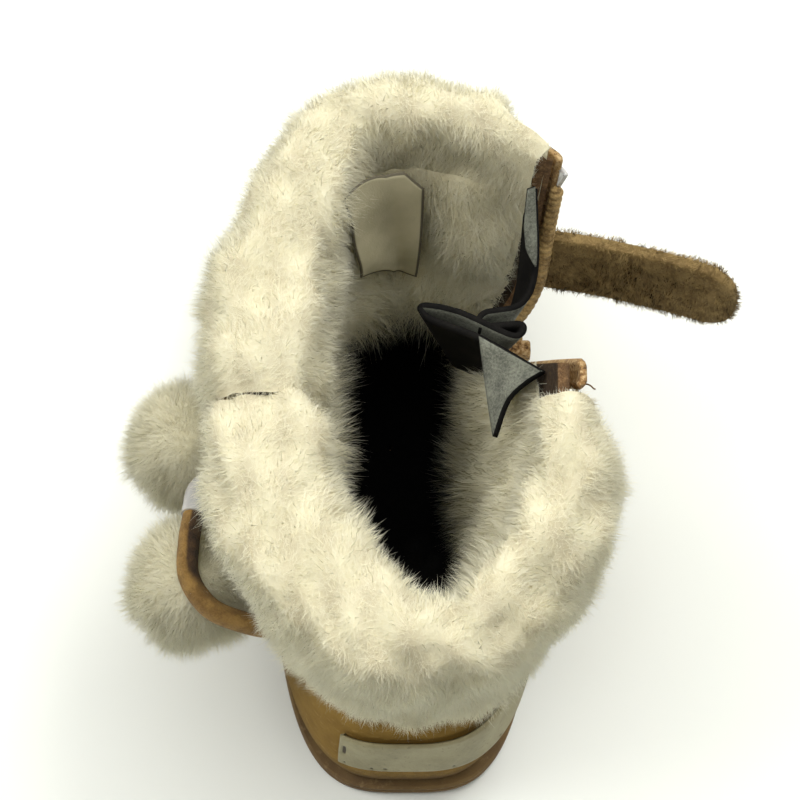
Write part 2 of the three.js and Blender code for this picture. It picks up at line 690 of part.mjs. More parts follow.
add('outsole', outsole(), COLOURS.rubber, 0.7);
add('insole', insole(), COLOURS.insole, 0.95);
add('upper', upper(), COLOURS.nubuck, 0.85);
add('lining', lining(), COLOURS.fur, 1);
add('gusset', gusset(), COLOURS.gusset, 0.6);
add('slit_facing', slitFacing(), COLOURS.facing, 0.8);
add('front_cuff', furCuff(FRONT_CUFF), COLOURS.fur, 1);
add('rear_cuff', furCuff(REAR_CUFF), COLOURS.fur, 1);
add('closure_strap', closureStrap(), COLOURS.loop, 1);
add('heel_strip', upperPatch(HEEL_STRIP, GAP, GAP + HEEL_STRIP.thickness), COLOURS.strip, 0.6);
add('corner_guard_front', cornerGuard(SLIT.frontTopY - GUARD.frontBack, SLIT.frontTopZ), COLOURS.clear, 0.2);
add('corner_guard_rear', cornerGuard(SLIT.rearTopY - GUARD.rearBack, SLIT.rearTopZ), COLOURS.clear, 0.2);
add('pompom_lace', lace(), COLOURS.lace, 0.95);
for (const place of POMPOMS) add(place.name, pompom(place), COLOURS.fur, 1);

export default boot;
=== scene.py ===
# %% [markdown]
# # A child's fur-lined winter boot
# One boot for the left foot stands empty on its sole. It is seen from behind and above, with the slit
# on its inner side pulled open. The packed solids are the frame and say where every piece is. Each step
# below dresses one of them, so that leather, sheepskin, felt and clear plastic look like themselves.

# %% Frame
import math

import bpy
import numpy as np
from mathutils.kdtree import KDTree
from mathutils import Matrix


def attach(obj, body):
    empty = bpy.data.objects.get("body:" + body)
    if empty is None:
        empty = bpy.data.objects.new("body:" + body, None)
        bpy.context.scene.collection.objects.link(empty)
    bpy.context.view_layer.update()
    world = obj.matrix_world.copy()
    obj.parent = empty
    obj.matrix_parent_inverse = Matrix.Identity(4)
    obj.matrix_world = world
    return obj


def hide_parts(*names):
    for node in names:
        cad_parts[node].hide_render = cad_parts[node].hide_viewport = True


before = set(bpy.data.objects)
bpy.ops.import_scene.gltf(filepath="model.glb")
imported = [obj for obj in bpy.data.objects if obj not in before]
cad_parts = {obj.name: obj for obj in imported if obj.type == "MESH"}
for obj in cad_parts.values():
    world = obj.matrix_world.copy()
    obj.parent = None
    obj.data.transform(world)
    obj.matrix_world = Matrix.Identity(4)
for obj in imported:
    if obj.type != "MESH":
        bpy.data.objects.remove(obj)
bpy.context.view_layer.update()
MM = 0.001  # the sizes below are in millimetres, and Blender's are in metres

# %% [markdown]
# ## Camera
# The photograph looks down on the heel at a steep angle, through a long lens. A long lens from far away
# keeps the heel from looking too large, and the level horizon needs no roll. The camera comes before
# the pieces.

# %% Camera
EYE = (-1.058, -195.04, 487.59)
LOOK_DOWN = 62  # degrees under the horizon

bpy.ops.object.select_all(action="DESELECT")
bpy.ops.object.camera_add(location=[c * MM for c in EYE], rotation=(math.radians(90 - LOOK_DOWN), 0, 0))
camera = bpy.context.object
camera.data.lens, camera.data.sensor_width = 108, 36
camera.data.clip_start, camera.data.clip_end = 0.01, 20
bpy.context.scene.camera = camera
print("camera:", camera.data.lens, "mm lens,", LOOK_DOWN, "degrees down")

# %% [markdown]
# ## The last
# A boot is made round a last, the wooden foot that gives it its shape. Here the last is a function: give
# it a share of the height and an angle round the foot, and it gives a point of the leather. The sizes are
# those of the solids, so whatever is laid on this surface fits the frame. Arrays go in and come out, so
# one call places thousands of hairs.

# %% The last as a function
GAP, WALL, SOLE_THICKNESS = 0.3, 2.4, 4
BALL_Y, TOE_Y, TOE_SPRING, TOE_OUT, TOE_TURN = 88, 132, 4.5, 0.075, 6
ARCH = dict(y=40, reach=24, depth=3)
FLAP_FLARE = dict(angle=38, reach=22, out=10, start=0.5, full=0.85)
LEVEL_COLUMNS = ("back", "front", "rear", "fore", "heel_z", "toe_z", "heel_round", "toe_round", "swing")
UPPER_LEVELS = np.array([
    (-28.6, 129, 26, 33, 4.4, 4.4, 3.4, 2.6, 1),  # feather line
    (-30.6, 131, 28, 35, 14, 14, 3.3, 2.6, 1),  # bulge
    (-29.6, 129.5, 27.6, 34.4, 26, 23, 3.2, 2.6, 1),  # side
    (-28.2, 123, 26.8, 32, 36, 32, 3, 2.5, 1),  # toe edge
    (-27.2, 110, 25.4, 27.6, 44, 38, 2.7, 2.3, 0.9),  # toe top
    (-26.6, 94, 25.2, 24.4, 51, 44.5, 2.5, 2.15, 0.7),  # vamp
    (-26.6, 79, 25.4, 23, 58, 52, 2.3, 2.05, 0.4),  # instep
    (-27.5, 69, 26.2, 23.5, 66, 62, 2.1, 2, 0.2),  # ankle
    (-29.5, 68, 28.2, 26, 76, 79, 2, 2, 0),  # shaft
    (-32.5, 73, 31, 30, 91, 103, 2, 2, 0),  # collar
])
UP = np.array([0.0, 0.0, 1.0])


def unit(v):
    return v / np.maximum(np.linalg.norm(v, axis=-1, keepdims=True), 1e-9)


def smooth(t):
    t = np.clip(t, 0, 1)
    return t * t * (3 - 2 * t)


def spring_at(y):
    return TOE_SPRING * np.maximum(0, (y - BALL_Y) / (TOE_Y - BALL_Y)) ** 2


def plan_point(level, angle):
    """A point of a level's outline from above: angle 0 is the toe, a quarter turn the inner side."""
    power = 2 / np.where(np.cos(angle) < 0, level["heel_round"], level["toe_round"])
    along = np.sign(np.cos(angle)) * np.abs(np.cos(angle)) ** power
    across = np.sign(np.sin(angle)) * np.abs(np.sin(angle)) ** power
    t = (1 + along) / 2
    y = level["back"] + (level["front"] - level["back"]) * t
    half = level["rear"] + (level["fore"] - level["rear"]) * smooth(t)
    turn = TOE_TURN * np.maximum(0, (y - BALL_Y) / (TOE_Y - BALL_Y)) ** 2
    middle = (turn - TOE_OUT * np.maximum(0, y)) * level["swing"]
    waist = ARCH["depth"] * level["swing"] * np.exp(-(((y - ARCH["y"]) / ARCH["reach"]) ** 2))
    return middle + (half - np.where(across > 0, waist, 0)) * across, y, t


def level_at(share):
    last = len(UPPER_LEVELS) - 1
    place = np.clip(share, 0, 1) * last
    row = np.minimum(np.floor(place), last - 1).astype(int)
    t = (place - row)[..., None]
    before, start, end, after = (UPPER_LEVELS[np.clip(row + n, 0, last)] for n in (-1, 0, 1, 2))
    rise, fall = (end - before) / 2, (after - start) / 2
    lean, bend = 3 * (end - start) - 2 * rise - fall, 2 * (start - end) + rise + fall
    return dict(zip(LEVEL_COLUMNS, np.moveaxis(start + t * (rise + t * (lean + t * bend)), -1, 0)))


def upper_point(share, angle):
    level = level_at(share)
    x, y, t = plan_point(level, angle)
    off = (angle - math.radians(FLAP_FLARE["angle"]) + math.pi) % (2 * math.pi) - math.pi
    opened = smooth((share - FLAP_FLARE["start"]) / (FLAP_FLARE["full"] - FLAP_FLARE["start"]))
    flare = FLAP_FLARE["out"] * opened * np.exp(-((off / math.radians(FLAP_FLARE["reach"])) ** 2))
    z = level["heel_z"] + (level["toe_z"] - level["heel_z"]) * t + spring_at(y)
    return np.stack([x + flare, y, z], axis=-1)


def outwards(share, angle, step=0.004):
    high, low = np.minimum(1, share + step), np.maximum(0, share - step)
    rise = upper_point(high, angle) - upper_point(low, angle)
    along = upper_point(share, angle + step) - upper_point(share, angle - step)
    return unit(np.cross(rise, along))


def on_upper(share, angle, out=0.0):
    """Points of the leather, moved out along its own normal."""
    share, angle, out = np.broadcast_arrays(*(np.asarray(x, float) for x in (share, angle, out)))
    return upper_point(share, angle) + outwards(share, angle) * out[..., None]


heel = on_upper(0.2, math.pi)
print("last: the heel's back at a fifth of the height is", np.round(heel, 1).tolist())

# %% [markdown]
# ## Finishes as sums
# A node tree is easier to read as a sum than as boxes and wires. One small class holds a socket. Adding,
# multiplying or subtracting two of them adds a Math node, and one method makes any other node. Every
# finish below is written with it.

# %% A socket that does sums
class Wire:
    """One socket of a node tree. Sums of wires become Math nodes."""

    def __init__(self, tree, socket=None):
        self.tree, self.socket = tree, socket

    def node(self, kind, settings=None, *values, out=0, **named):
        """Adds a node: its settings first, then its sockets in order or by name."""
        made = self.tree.nodes.new("ShaderNode" + kind)
        for key, value in (settings or {}).items():
            if key == "stops":
                ramp = made.color_ramp
                while len(ramp.elements) < len(value):
                    ramp.elements.new(1)
                for stop, (place, colour) in zip(ramp.elements, value):
                    stop.position, stop.color = place, (*colour, 1)
            else:
                setattr(made, key, value)
        usable = [s for s in made.inputs if s.enabled]
        chosen = list(zip(usable, values))
        chosen += [(next(s for s in usable if s.name == k.replace("_", " ")), v) for k, v in named.items()]
        for socket, value in chosen:
            if isinstance(value, Wire):
                self.tree.links.new(value.socket, socket)
            elif socket.type == "RGBA":
                socket.default_value = (*value, 1)
            else:
                socket.default_value = value
        outputs = [s for s in made.outputs if s.enabled]
        return Wire(self.tree, outputs[out] if outputs else None)

    def output(self, name):
        """Another output of the same node."""
        return Wire(self.tree, self.socket.node.outputs[name])

    def sum(self, operation, *values):
        return self.node("Math", {"operation": operation}, *values)

    def __add__(self, other):
        return self.sum("ADD", self, other)

    def __radd__(self, other):
        return self.sum("ADD", other, self)

    def __sub__(self, other):
        return self.sum("SUBTRACT", self, other)

    def __rsub__(self, other):
        return self.sum("SUBTRACT", other, self)

    def __mul__(self, other):
        return self.sum("MULTIPLY", self, other)

    def __rmul__(self, other):
        return self.sum("MULTIPLY", other, self)

    def between(self, low, high):
        """0 under low, 1 over high, and smooth between them."""
        return self.node("MapRange", {"interpolation_type": "SMOOTHSTEP"}, self, low, high, 0.0, 1.0)

    def ramp(self, *stops):
        return self.node("ValToRGB", {"stops": stops}, self)

    def mix(self, first, second):
        """A colour from first to second as this value goes from 0 to 1."""
        return self.node("Mix", {"data_type": "RGBA"}, self, first, second)

    def noise(self, scale, detail=3.0, rough=0.55):
        return self.node("TexNoise", None, Vector=self, Scale=scale, Detail=detail, Roughness=rough)


print("wire:", sum(callable(way) for way in vars(Wire).values()), "methods")


# %% A finish's first and last nodes
def start_finish(name):
    """A new material: its empty tree and the piece's own coordinates."""
    material = bpy.data.materials.new(name)
    material.use_nodes = True
    material.node_tree.nodes.clear()
    tree = Wire(material.node_tree)
    return material, tree, tree.node("TexCoord", None, out=3)


def end_finish(material, tree, colour, rough, relief=None, depth=0.0002, passes=None, **constants):
    """Ends a material in a shader. Relief bumps the surface by up to depth, in metres. Passes is the share
    of light that goes through, and its colour."""
    links = {"Base_Color": colour, "Roughness": rough, **constants}
    if relief is not None:
        links["Normal"] = tree.node("Bump", None, Height=relief, Distance=depth)
    shader = tree.node("BsdfPrincipled", None, **links)
    if passes:
        share, tint = passes
        shader = tree.node("MixShader", None, share, shader, tree.node("BsdfTranslucent", None, tint))
    tree.node("OutputMaterial", None, Surface=shader)
    print("finish:", material.name, len(tree.tree.nodes), "nodes")
    return material


# %% [markdown]
# ## Lace
# A rolled suede lace comes out of the leather under the rear cuff, arches over one pompom in a C and goes
# back in. A cord is a round section along a curve, so the route of the solid is drawn as a curve with a
# bevel and then made a mesh. The inside of the bend is painted dark: partly the suede's flesh side, partly
# painted shade, so every point keeps how far it faces that way.

# %% A smooth curve through points
def through(points, steps, alpha=0.5):
    """A curve through the points, with so many steps to a span."""
    p = np.asarray(points, float)
    p = np.vstack([2 * p[0] - p[1], p, 2 * p[-1] - p[-2]])
    line = []
    for a, b, c, d in zip(p, p[1:], p[2:], p[3:]):
        k = np.cumsum([0, *(np.linalg.norm(s - r) ** alpha for r, s in ((a, b), (b, c), (c, d)))])
        t = np.linspace(k[1], k[2], steps, endpoint=False)[:, None]

        def blend(first, second, low, high):
            return first + (second - first) * (t - low) / (high - low)

        ab, bc, cd = blend(a, b, k[0], k[1]), blend(b, c, k[1], k[2]), blend(c, d, k[2], k[3])
        line.append(blend(blend(ab, bc, k[0], k[2]), blend(bc, cd, k[1], k[3]), k[1], k[2]))
    return np.vstack([*line, p[-2:-1]])


def run_of(line):
    """How far along a line each of its points is."""
    return np.concatenate([[0], np.cumsum(np.linalg.norm(np.diff(line, axis=0), axis=1))])


LACE_DIAMETER = 4.2
LACE_ROUTE = [
    (-18.8, -15, 55), (-26, -16, 57), (-31.5, -16, 60), (-37.5, -14.5, 63.5), (-41.4, -9.5, 66.5),
    (-41.6, -3, 68), (-40.8, 3.5, 68), (-40, 9.6, 65.5), (-36.6, 12.8, 63), (-30.5, 13, 61.4),
    (-22, 12.4, 60.4),
]


def clear_of_leather(points):
    """How far each point stands outside the upper."""
    share, angle = np.meshgrid(np.linspace(0, 1, 70), np.linspace(0, 2 * math.pi, 240))
    skin, normal = on_upper(share, angle).reshape(-1, 3), outwards(share, angle).reshape(-1, 3)
    nearest = [int(np.argmin(((skin - p) ** 2).sum(1))) for p in points]
    return ((points - skin[nearest]) * normal[nearest]).sum(1)


lace_line = through(LACE_ROUTE, 8)
lace_line = lace_line[clear_of_leather(lace_line) > 2 * GAP]

# %% Cords as pieces
def new_piece(name):
    """Names the object that an operator has just made."""
    piece = bpy.context.object
    piece.name = piece.data.name = name
    return piece


def pick(*pieces):
    """Selects these pieces and no others, and makes the first the active one."""
    bpy.ops.object.select_all(action="DESELECT")
    for piece in pieces:
        piece.select_set(True)
    bpy.context.view_layer.objects.active = pieces[0]


def dress(piece, slot, node=None, *materials):
    """The last step for a piece: its finish, its body and the solid that it stands for. The slot is not used.
    """
    for material in materials:
        piece.data.materials.append(material)
    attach(piece, "root")
    if node:
        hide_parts(node)
    print(piece.name, "has", len(piece.data.polygons), "faces")
    return piece


def tube(name, line, diameter, sides=6):
    """A round cord along a line, as a mesh with closed ends."""
    bpy.ops.object.select_all(action="DESELECT")
    bpy.ops.curve.primitive_nurbs_path_add(location=(0, 0, 0))
    curve = bpy.context.object.data
    curve.splines.clear()
    spline = curve.splines.new("POLY")
    spline.points.add(len(line) - 1)
    spline.points.foreach_set("co", np.column_stack([line * MM, np.ones(len(line))]).ravel())
    curve.bevel_depth, curve.bevel_resolution, curve.use_fill_caps = diameter / 2 * MM, sides - 2, True
    bpy.ops.object.convert(target="MESH")
    bpy.ops.object.shade_smooth()
    return new_piece(name)


def points_of(piece):
    flat = np.empty(len(piece.data.vertices) * 3)
    piece.data.vertices.foreach_get("co", flat)
    return flat.reshape(-1, 3) / MM


def keep_value(piece, name, values):
    """Keeps one number a point on the mesh, for a finish to read."""
    piece.data.attributes.new(name, "FLOAT", "POINT").data.foreach_set("value", values.astype(np.float32))


lace = tube("suede_lace", lace_line, LACE_DIAMETER)
print("lace: a tube of", len(lace.data.polygons), "faces")

# %% The lace's flesh side and painted shade
LOOP_MIDDLE = np.array([-28.0, 0, 0])
# The inside of the bend is painted dark: partly the flesh side, partly painted shade. The dark fades towards
# the rear end.
FLESH_AND_SHADE = dict(turn=1.2, start=0.68, end_y=-14, reach=8, end=0.4)  # it is paler towards the rear end
skin = points_of(lace)
step = np.array([int(np.argmin(((lace_line - p) ** 2).sum(1))) for p in skin])
inwards = unit((LOOP_MIDDLE - lace_line[step]) * (1, 1, 0))
facing_in = ((skin - lace_line[step]) * inwards).sum(1) / (LACE_DIAMETER / 2)
from_end = smooth((skin[:, 1] - FLESH_AND_SHADE["end_y"]) / FLESH_AND_SHADE["reach"])
fade = FLESH_AND_SHADE["end"] + (1 - FLESH_AND_SHADE["end"]) * from_end
keep_value(lace, "flesh", smooth(facing_in * FLESH_AND_SHADE["turn"] + FLESH_AND_SHADE["start"]) * fade)
print("lace: dark on", round(100 * float((facing_in > -0.25).mean())), "percent of its points")

# %% [markdown]
# ## Suede
# Suede is leather with its fibres raised, so it is matt, a little lighter where the nap is rubbed and full
# of tiny shadows. Noise at two sizes gives the rubbed patches and the nap. The lace reads the number kept
# above and turns dark brown on the inside of its bend, partly its flesh side and partly painted shade.

# %% Suede of the lace
def lace_suede():
    material, tree, place = start_finish("lace suede")
    flesh = tree.node("Attribute", {"attribute_name": "flesh"}, out=2)
    nap, rub = place.noise(2600, 4, 0.7), place.noise(420, 3)
    grain = (rub * 0.6 + nap * 0.4).between(0.32, 0.68)
    outside = grain.mix((0.17, 0.088, 0.020), (0.36, 0.21, 0.055))
    # The inside colour is painted shade, partly the dark flesh side.
    inside = grain.mix((0.022, 0.011, 0.004), (0.085, 0.042, 0.014))
    colour = (flesh + (nap - 0.5) * 0.5).between(0.3, 0.8).mix(outside, inside)
    return end_finish(material, tree, colour, 0.9 - nap * 0.15, nap, 0.0004, Sheen_Weight=0.04)


dress(lace, "suede_lace", "pompom_lace", lace_suede())

# %% [markdown]
# ## Sheepskin
# Wool isn't a surface but tens of thousands of hairs that stick together in locks. Blender's own hair
# can't be kept as a mesh, so each hair is a thin ribbon of two faces, and all hairs of a piece are one
# mesh that is filled from arrays. A hair leaves the hide upright, then bends over with the lie of the wool,
# and its tip is drawn towards the middle of its lock. Its flat side faces away from the hide, so the coat
# shades as one soft form. Between the hairs stands short underwool in every direction. It is what makes
# wool look like plush, and one pointed face is enough for each tuft of it.

# %% Places for hairs
def lattice(grid, i, j):
    """Values of a grid at places between its points."""
    a, b = np.clip(i.astype(int), 0, len(grid) - 2), np.clip(j.astype(int), 0, len(grid[0]) - 2)
    s, t = (i - a)[:, None], (j - b)[:, None]
    low = grid[a, b] * (1 - s) + grid[a + 1, b] * s
    return low * (1 - t) + (grid[a, b + 1] * (1 - s) + grid[a + 1, b + 1] * s) * t


def scatter(grid, count, rng, density=1.0):
    """Places for hairs on a grid of points, even by area times a density for each of its cells."""
    across, along = grid[1:, :-1] - grid[:-1, :-1], grid[:-1, 1:] - grid[:-1, :-1]
    weight = (np.linalg.norm(np.cross(across, along), axis=-1) * density).ravel()
    cell = rng.choice(weight.size, size=count, p=weight / weight.sum())
    i, j = np.unravel_index(cell, (len(grid) - 1, len(grid[0]) - 1))
    return i + rng.random(count), j + rng.random(count)


square = np.moveaxis(np.indices((2, 2), float), 0, -1)
print("places: the middle of a square is", lattice(square, np.array([0.5]), np.array([0.5]))[0].tolist())


# %% Comb the hairs
def in_locks(root, tip, knee, rng, hairs, hold):
    """Draws the hairs' tips together in locks of about so many hairs."""
    heads = rng.choice(len(root), len(root) // hairs, replace=False)
    tree = KDTree(len(heads))
    for n, head in enumerate(heads):
        tree.insert(root[head], n)
    tree.balance()
    lock = np.array([tree.find(p)[1] for p in root])
    head = heads[lock]
    near = root - root[head]
    hold = (hold * (0.6 + 0.4 * rng.random(len(root))))[:, None]
    tip = tip + (tip[head] + near * 0.3 - tip) * hold
    knee = knee + (knee[head] + near * 0.75 - knee) * hold
    return tip, knee, lock


def comb(root, normal, flow, length, rng, upright, wild, hairs, hold):
    """Each hair's root, knee and tip, with the number of its lock."""
    stray = rng.normal(size=root.shape) * wild
    first = unit(normal * upright + flow * (1 - upright) + stray * 0.5)
    second = unit(normal * upright * 0.55 + flow * (1.15 - upright) + stray)
    knee = root + first * (length * 0.52)[:, None]
    tip = knee + second * (length * 0.52)[:, None]
    tip, knee, lock = in_locks(root, tip, knee, rng, hairs, hold)
    return knee, tip, lock


stiff_hair = comb(np.zeros((1, 3)), UP[None], UP[None], np.ones(1), np.random.default_rng(0), 1, 0, 1, 0)
print("combing: an upright hair ends at", np.round(stiff_hair[1][0], 2).tolist(), "times its length")


# %% Hairs as one mesh
HAIR_MAP = "OFBake"  # the map's first number is a hair's tone, its second runs from root to tip
HAIR_STEPS = np.array([0.0, 0.55, 1.0])
HAIR_WIDTHS = np.array([1.0, 0.75])
HAIR_WIDTH = 0.075
UNDERWOOL = dict(width=0.11, share=0.66)  # its length is a share of the hairs'


def ribbon_mesh(name, points, faces, shade, tone, along):
    """One mesh of many hairs: their points, the faces of one hair, and each hair's shading and tone."""
    count, each = points.shape[:2]
    corners, sizes = np.concatenate(faces), [len(face) for face in faces]
    loops = (np.arange(count)[:, None] * each + corners).ravel()
    starts = (np.arange(count)[:, None] * len(corners) + np.cumsum([0, *sizes[:-1]])).ravel()
    mesh = bpy.data.meshes.new(name)
    mesh.vertices.add(count * each)
    mesh.vertices.foreach_set("co", (points * MM).astype(np.float32).ravel())
    mesh.loops.add(len(loops))
    mesh.loops.foreach_set("vertex_index", loops.astype(np.int32))
    mesh.polygons.add(len(starts))
    mesh.polygons.foreach_set("loop_start", starts.astype(np.int32))
    mesh.update(calc_edges=True)
    mesh.shade_smooth()
    mesh.normals_split_custom_set_from_vertices(np.repeat(shade, each, axis=0).astype(np.float32))
    beside = 0.004 * (-1.0) ** np.arange(each)
    uv = np.stack([np.clip(tone[:, None], 0.01, 0.99) + beside, np.tile(along, (count, 1))], axis=-1)
    uv = uv.reshape(-1, 2)[loops].astype(np.float32)
    mesh.uv_layers.new(name=HAIR_MAP).data.foreach_set("uv", uv.ravel())
    piece = bpy.data.objects.new(name, mesh)
    bpy.context.collection.objects.link(piece)
    return piece


def hair_piece(name, root, knee, tip, normal, width, tone, rng):
    """Curved hairs: each has a quad and a pointed end, and shades with the coat under it."""
    t = HAIR_STEPS[None, :, None]
    line = root[:, None] * (1 - t) ** 2 + knee[:, None] * 2 * t * (1 - t) + tip[:, None] * t**2
    lie = unit(tip - root)
    across = unit(np.cross(lie, normal + rng.normal(size=root.shape) * 0.25))
    side = across[:, None] * (HAIR_WIDTHS[None, :, None] * width / 2)
    points = np.empty((len(root), 5, 3))
    points[:, 0:4:2], points[:, 1:4:2], points[:, 4] = line[:, :2] - side, line[:, :2] + side, line[:, 2]
    shade = unit(normal * 0.85 + np.cross(across, lie) * 0.15 + rng.normal(size=root.shape) * 0.05)
    return ribbon_mesh(name, points, [[0, 1, 3, 2], [2, 3, 4]], shade, tone, np.repeat(HAIR_STEPS, (2, 2, 1)))


def underwool(name, root, normal, flow, length, tone, rng):
    """The short wool between the hairs: one pointed face each, in every direction."""
    way = unit(normal * 0.5 + flow * 0.3 + rng.normal(size=root.shape) * 0.55)
    side = unit(np.cross(way, normal + rng.normal(size=root.shape) * 0.4)) * UNDERWOOL["width"] / 2
    points = np.stack([root - side, root + side, root + way * length[:, None]], axis=1)
    shade = unit(normal + rng.normal(size=root.shape) * 0.08)
    return ribbon_mesh(name, points, [[0, 1, 2]], shade, tone, np.array([0.5, 0.5, 1.0]))


print("hair:", HAIR_WIDTH, "mm wide, underwool", UNDERWOOL["width"], "mm")


# %% A coat of wool and its finish
def coat(name, hairs, root, normal, flow, length, upright, tone, rng, hold=0.28, floor=None):
    """Wool on all places given: the first so many get hairs in locks, the others underwool."""
    first, rest = slice(0, hairs), slice(hairs, None)
    upright = np.broadcast_to(upright, len(root))[first, None]
    knee, tip, lock = comb(root[first], normal[first], flow[first], length[first], rng, upright,
                           wild=0.36, hairs=90, hold=hold)
    if floor is not None:
        for points in (root[first], knee, tip):
            points[:, 2] = np.maximum(points[:, 2], floor[first])
        root[:, 2] = np.maximum(root[:, 2], floor)
    locks = tone[first] + 0.05 * rng.normal(size=lock.max() + 1)[lock]
    short = length[rest] * UNDERWOOL["share"]
    return [hair_piece(name + "_hairs", root[first], knee, tip, normal[first], HAIR_WIDTH, locks, rng),
            underwool(name + "_underwool", root[rest], normal[rest], flow[rest], short, tone[rest], rng)]


def join(pieces, name):
    """Joins pieces into the first of them."""
    pick(*pieces)
    bpy.ops.object.join()
    return new_piece(name)


def on_map(tree, name):
    """The two numbers of a map: across it and up it."""
    across = tree.node("SeparateXYZ", None, tree.node("UVMap", {"uv_map": name}))
    return across, across.output("Y")


def wool():
    """Cream wool: darker near the hide as painted shade between the hairs, paler towards the tip. Low tones
    are dull and brownish, for brown hide and for painted shade.
    """
    material, tree, _ = start_finish("sheepskin wool")
    tone, tip = on_map(tree, HAIR_MAP)
    # Both ramps darken towards the root as painted shade between the hairs.
    pale = tip.ramp((0.0, (0.80, 0.73, 0.52)), (0.4, (0.91, 0.88, 0.68)), (1.0, (0.96, 0.955, 0.82)))
    dull = tip.ramp((0.0, (0.13, 0.08, 0.035)), (0.4, (0.36, 0.28, 0.17)), (1.0, (0.58, 0.53, 0.40)))
    return end_finish(material, tree, tone.mix(dull, pale), 0.95 - tone * 0.1,
                      passes=(0.3, (0.93, 0.89, 0.66)), Sheen_Weight=0.2)


WOOL = wool()

# %% [markdown]
# ## Pompoms
# Two wool pompoms hang on the lace on the outer side. A pompom is a ball of hairs that all start near its
# middle, so a lumpy ball is made under the wool and fine hairs stand on it in every direction, a little
# longer below, where they hang.

# %% Pompoms
POMPOMS = {"pompom_rear": (-41.6, -5, 53.2), "pompom_front": (-43.4, 23.2, 57.4)}
POMPOM_SIZES = {"pompom_rear": 15.2, "pompom_front": 14.6}  # radius with the wool
POMPOM_COAT, POMPOM_HAIRS, POMPOM_UNDERWOOL = 4.0, 12000, 48000
POMPOM_TONE, POMPOM_UPRIGHT = 0.84, 0.78


def loops_of(piece):
    """The number of the point at each corner of the faces."""
    loops = np.empty(len(piece.data.loops), np.int32)
    piece.data.loops.foreach_get("vertex_index", loops)
    return loops


def map_base(piece, low=0.15, high=0.4):
    """Gives the hide under the wool its place in the hairs' map: mid tones near the root."""
    maps = piece.data.uv_layers
    while maps:
        maps.remove(maps[0])
    p = points_of(piece)[loops_of(piece)]
    wave = 0.5 + 0.25 * np.sin(p[:, 0] * 0.9 + p[:, 2] * 0.5) + 0.2 * np.sin(p[:, 1] * 0.7 - p[:, 2] * 0.8)
    uv = np.column_stack([0.6 + 0.35 * wave, low + (high - low) * wave])
    maps.new(name=HAIR_MAP).data.foreach_set("uv", uv.astype(np.float32).ravel())


def pompom(name, centre, seed):
    rng = np.random.default_rng(seed)
    bpy.ops.object.select_all(action="DESELECT")
    bpy.ops.mesh.primitive_ico_sphere_add(subdivisions=4, radius=MM, location=(0, 0, 0))
    core = new_piece(name + "_core")
    ball = POMPOM_SIZES[name] - POMPOM_COAT

    def lumpy(way):
        lumps = 1 + 0.045 * np.sin(way @ (5, 2, 3)) + 0.04 * np.sin(way @ (-3, 6, 4) + 1)
        lumps += 0.03 * np.sin(way @ (9, -7, 5)) + 0.02 * np.sin(way @ (-11, 8, 13) + 2)
        return np.array(centre) + way * (ball * lumps)[:, None]

    core.data.vertices.foreach_set("co", (lumpy(unit(points_of(core))) * MM).ravel())
    bpy.ops.object.shade_smooth()
    map_base(core)
    many = POMPOM_HAIRS + POMPOM_UNDERWOOL
    way = unit(rng.normal(size=(many, 3)))
    root = lumpy(way) - way * 0.6
    hang = unit(np.array([-0.1, -0.25, -1.0]) + rng.normal(size=way.shape) * 0.6)
    length = (POMPOM_COAT + 1.2) * (0.85 + 0.3 * rng.random(many)) - 0.4 * way[:, 2]
    tone = POMPOM_TONE + 0.07 * rng.normal(size=many)
    wools = coat(name, POMPOM_HAIRS, root, way, hang, length, POMPOM_UPRIGHT, tone, rng)
    return dress(join([core, *wools], name + "_wool"), "sheepskin", name, WOOL)


pompoms = [pompom(name, centre, 11 + n) for n, (name, centre) in enumerate(POMPOMS.items())]

# %% [markdown]
# The lace is a free cord, with the pompoms that hang on it. It is limp suede
# that starts and ends in the leather.

lace_line[0] * MM
lace_line * MM
print("lace: declared with", len(pompoms), "pompoms")

# %% [markdown]
# ## Fur cuffs
# The sheepskin lining turns out over the collar in two thick rolls: one round the front flap, one round the
# heel. Wool this dense is a soft body with a fuzzy skin, and not single hairs. So each roll is the solid's
# own section, swept round the collar a little slimmer, with soft lumps in it, and short fine hairs stand on
# it. They turn over gently at the crest and fall down both sides. Near a roll's ends they fan out.

# %% The cuffs' section
FUR = dict(out=10.4, inside=3, deepest=250, deep_extra=10.5, crest=6.5, end_round=11, end_full=0.64,
           fullest=128)
SKIRT = dict(side=0.78, back=0.55, start=0.6)
LINING_EDGE = 0.84
SKIRT_PROFILE = [(0, 0.4), (0.1, 0.78), (0.35, 1), (0.7, 1.05), (1, 0.9)]  # up, out
CREST_PROFILE = [(0.5, 0.72), (0, 1), (-0.6, 0.85)]  # out, up
INNER_PROFILE = [(1, 1), (0.5, 0.95), (0, 0.5)]  # up, in
CUFFS = {
    "front_cuff": dict(start=-98.2, end=36.2, thin_from=20, bare_from=31, hairs=24000, underwool=98000),
    "rear_cuff": dict(start=98.5, end=261.8, thin_from=262, bare_from=263, hairs=26000, underwool=100000),
}
COAT = 0.8  # the soft body's share of the roll: the rest is loose wool


def finer(grid, steps):
    """More points along a grid's second axis, on a smooth curve through those it has."""
    p = np.concatenate([2 * grid[:, :1] - grid[:, 1:2], grid, 2 * grid[:, -1:] - grid[:, -2:-1]], axis=1)
    a, b, c, d = p[:, :-3], p[:, 1:-2], p[:, 2:-1], p[:, 3:]
    spans = [b + ((c - a) * k + (2 * a - 5 * b + 4 * c - d) * k**2 + (3 * (b - c) + d - a) * k**3) / 2
             for k in np.linspace(0, 1, steps, endpoint=False)]
    return np.concatenate([np.stack(spans, axis=2).reshape(len(grid), -1, 3), grid[:, -1:]], axis=1)


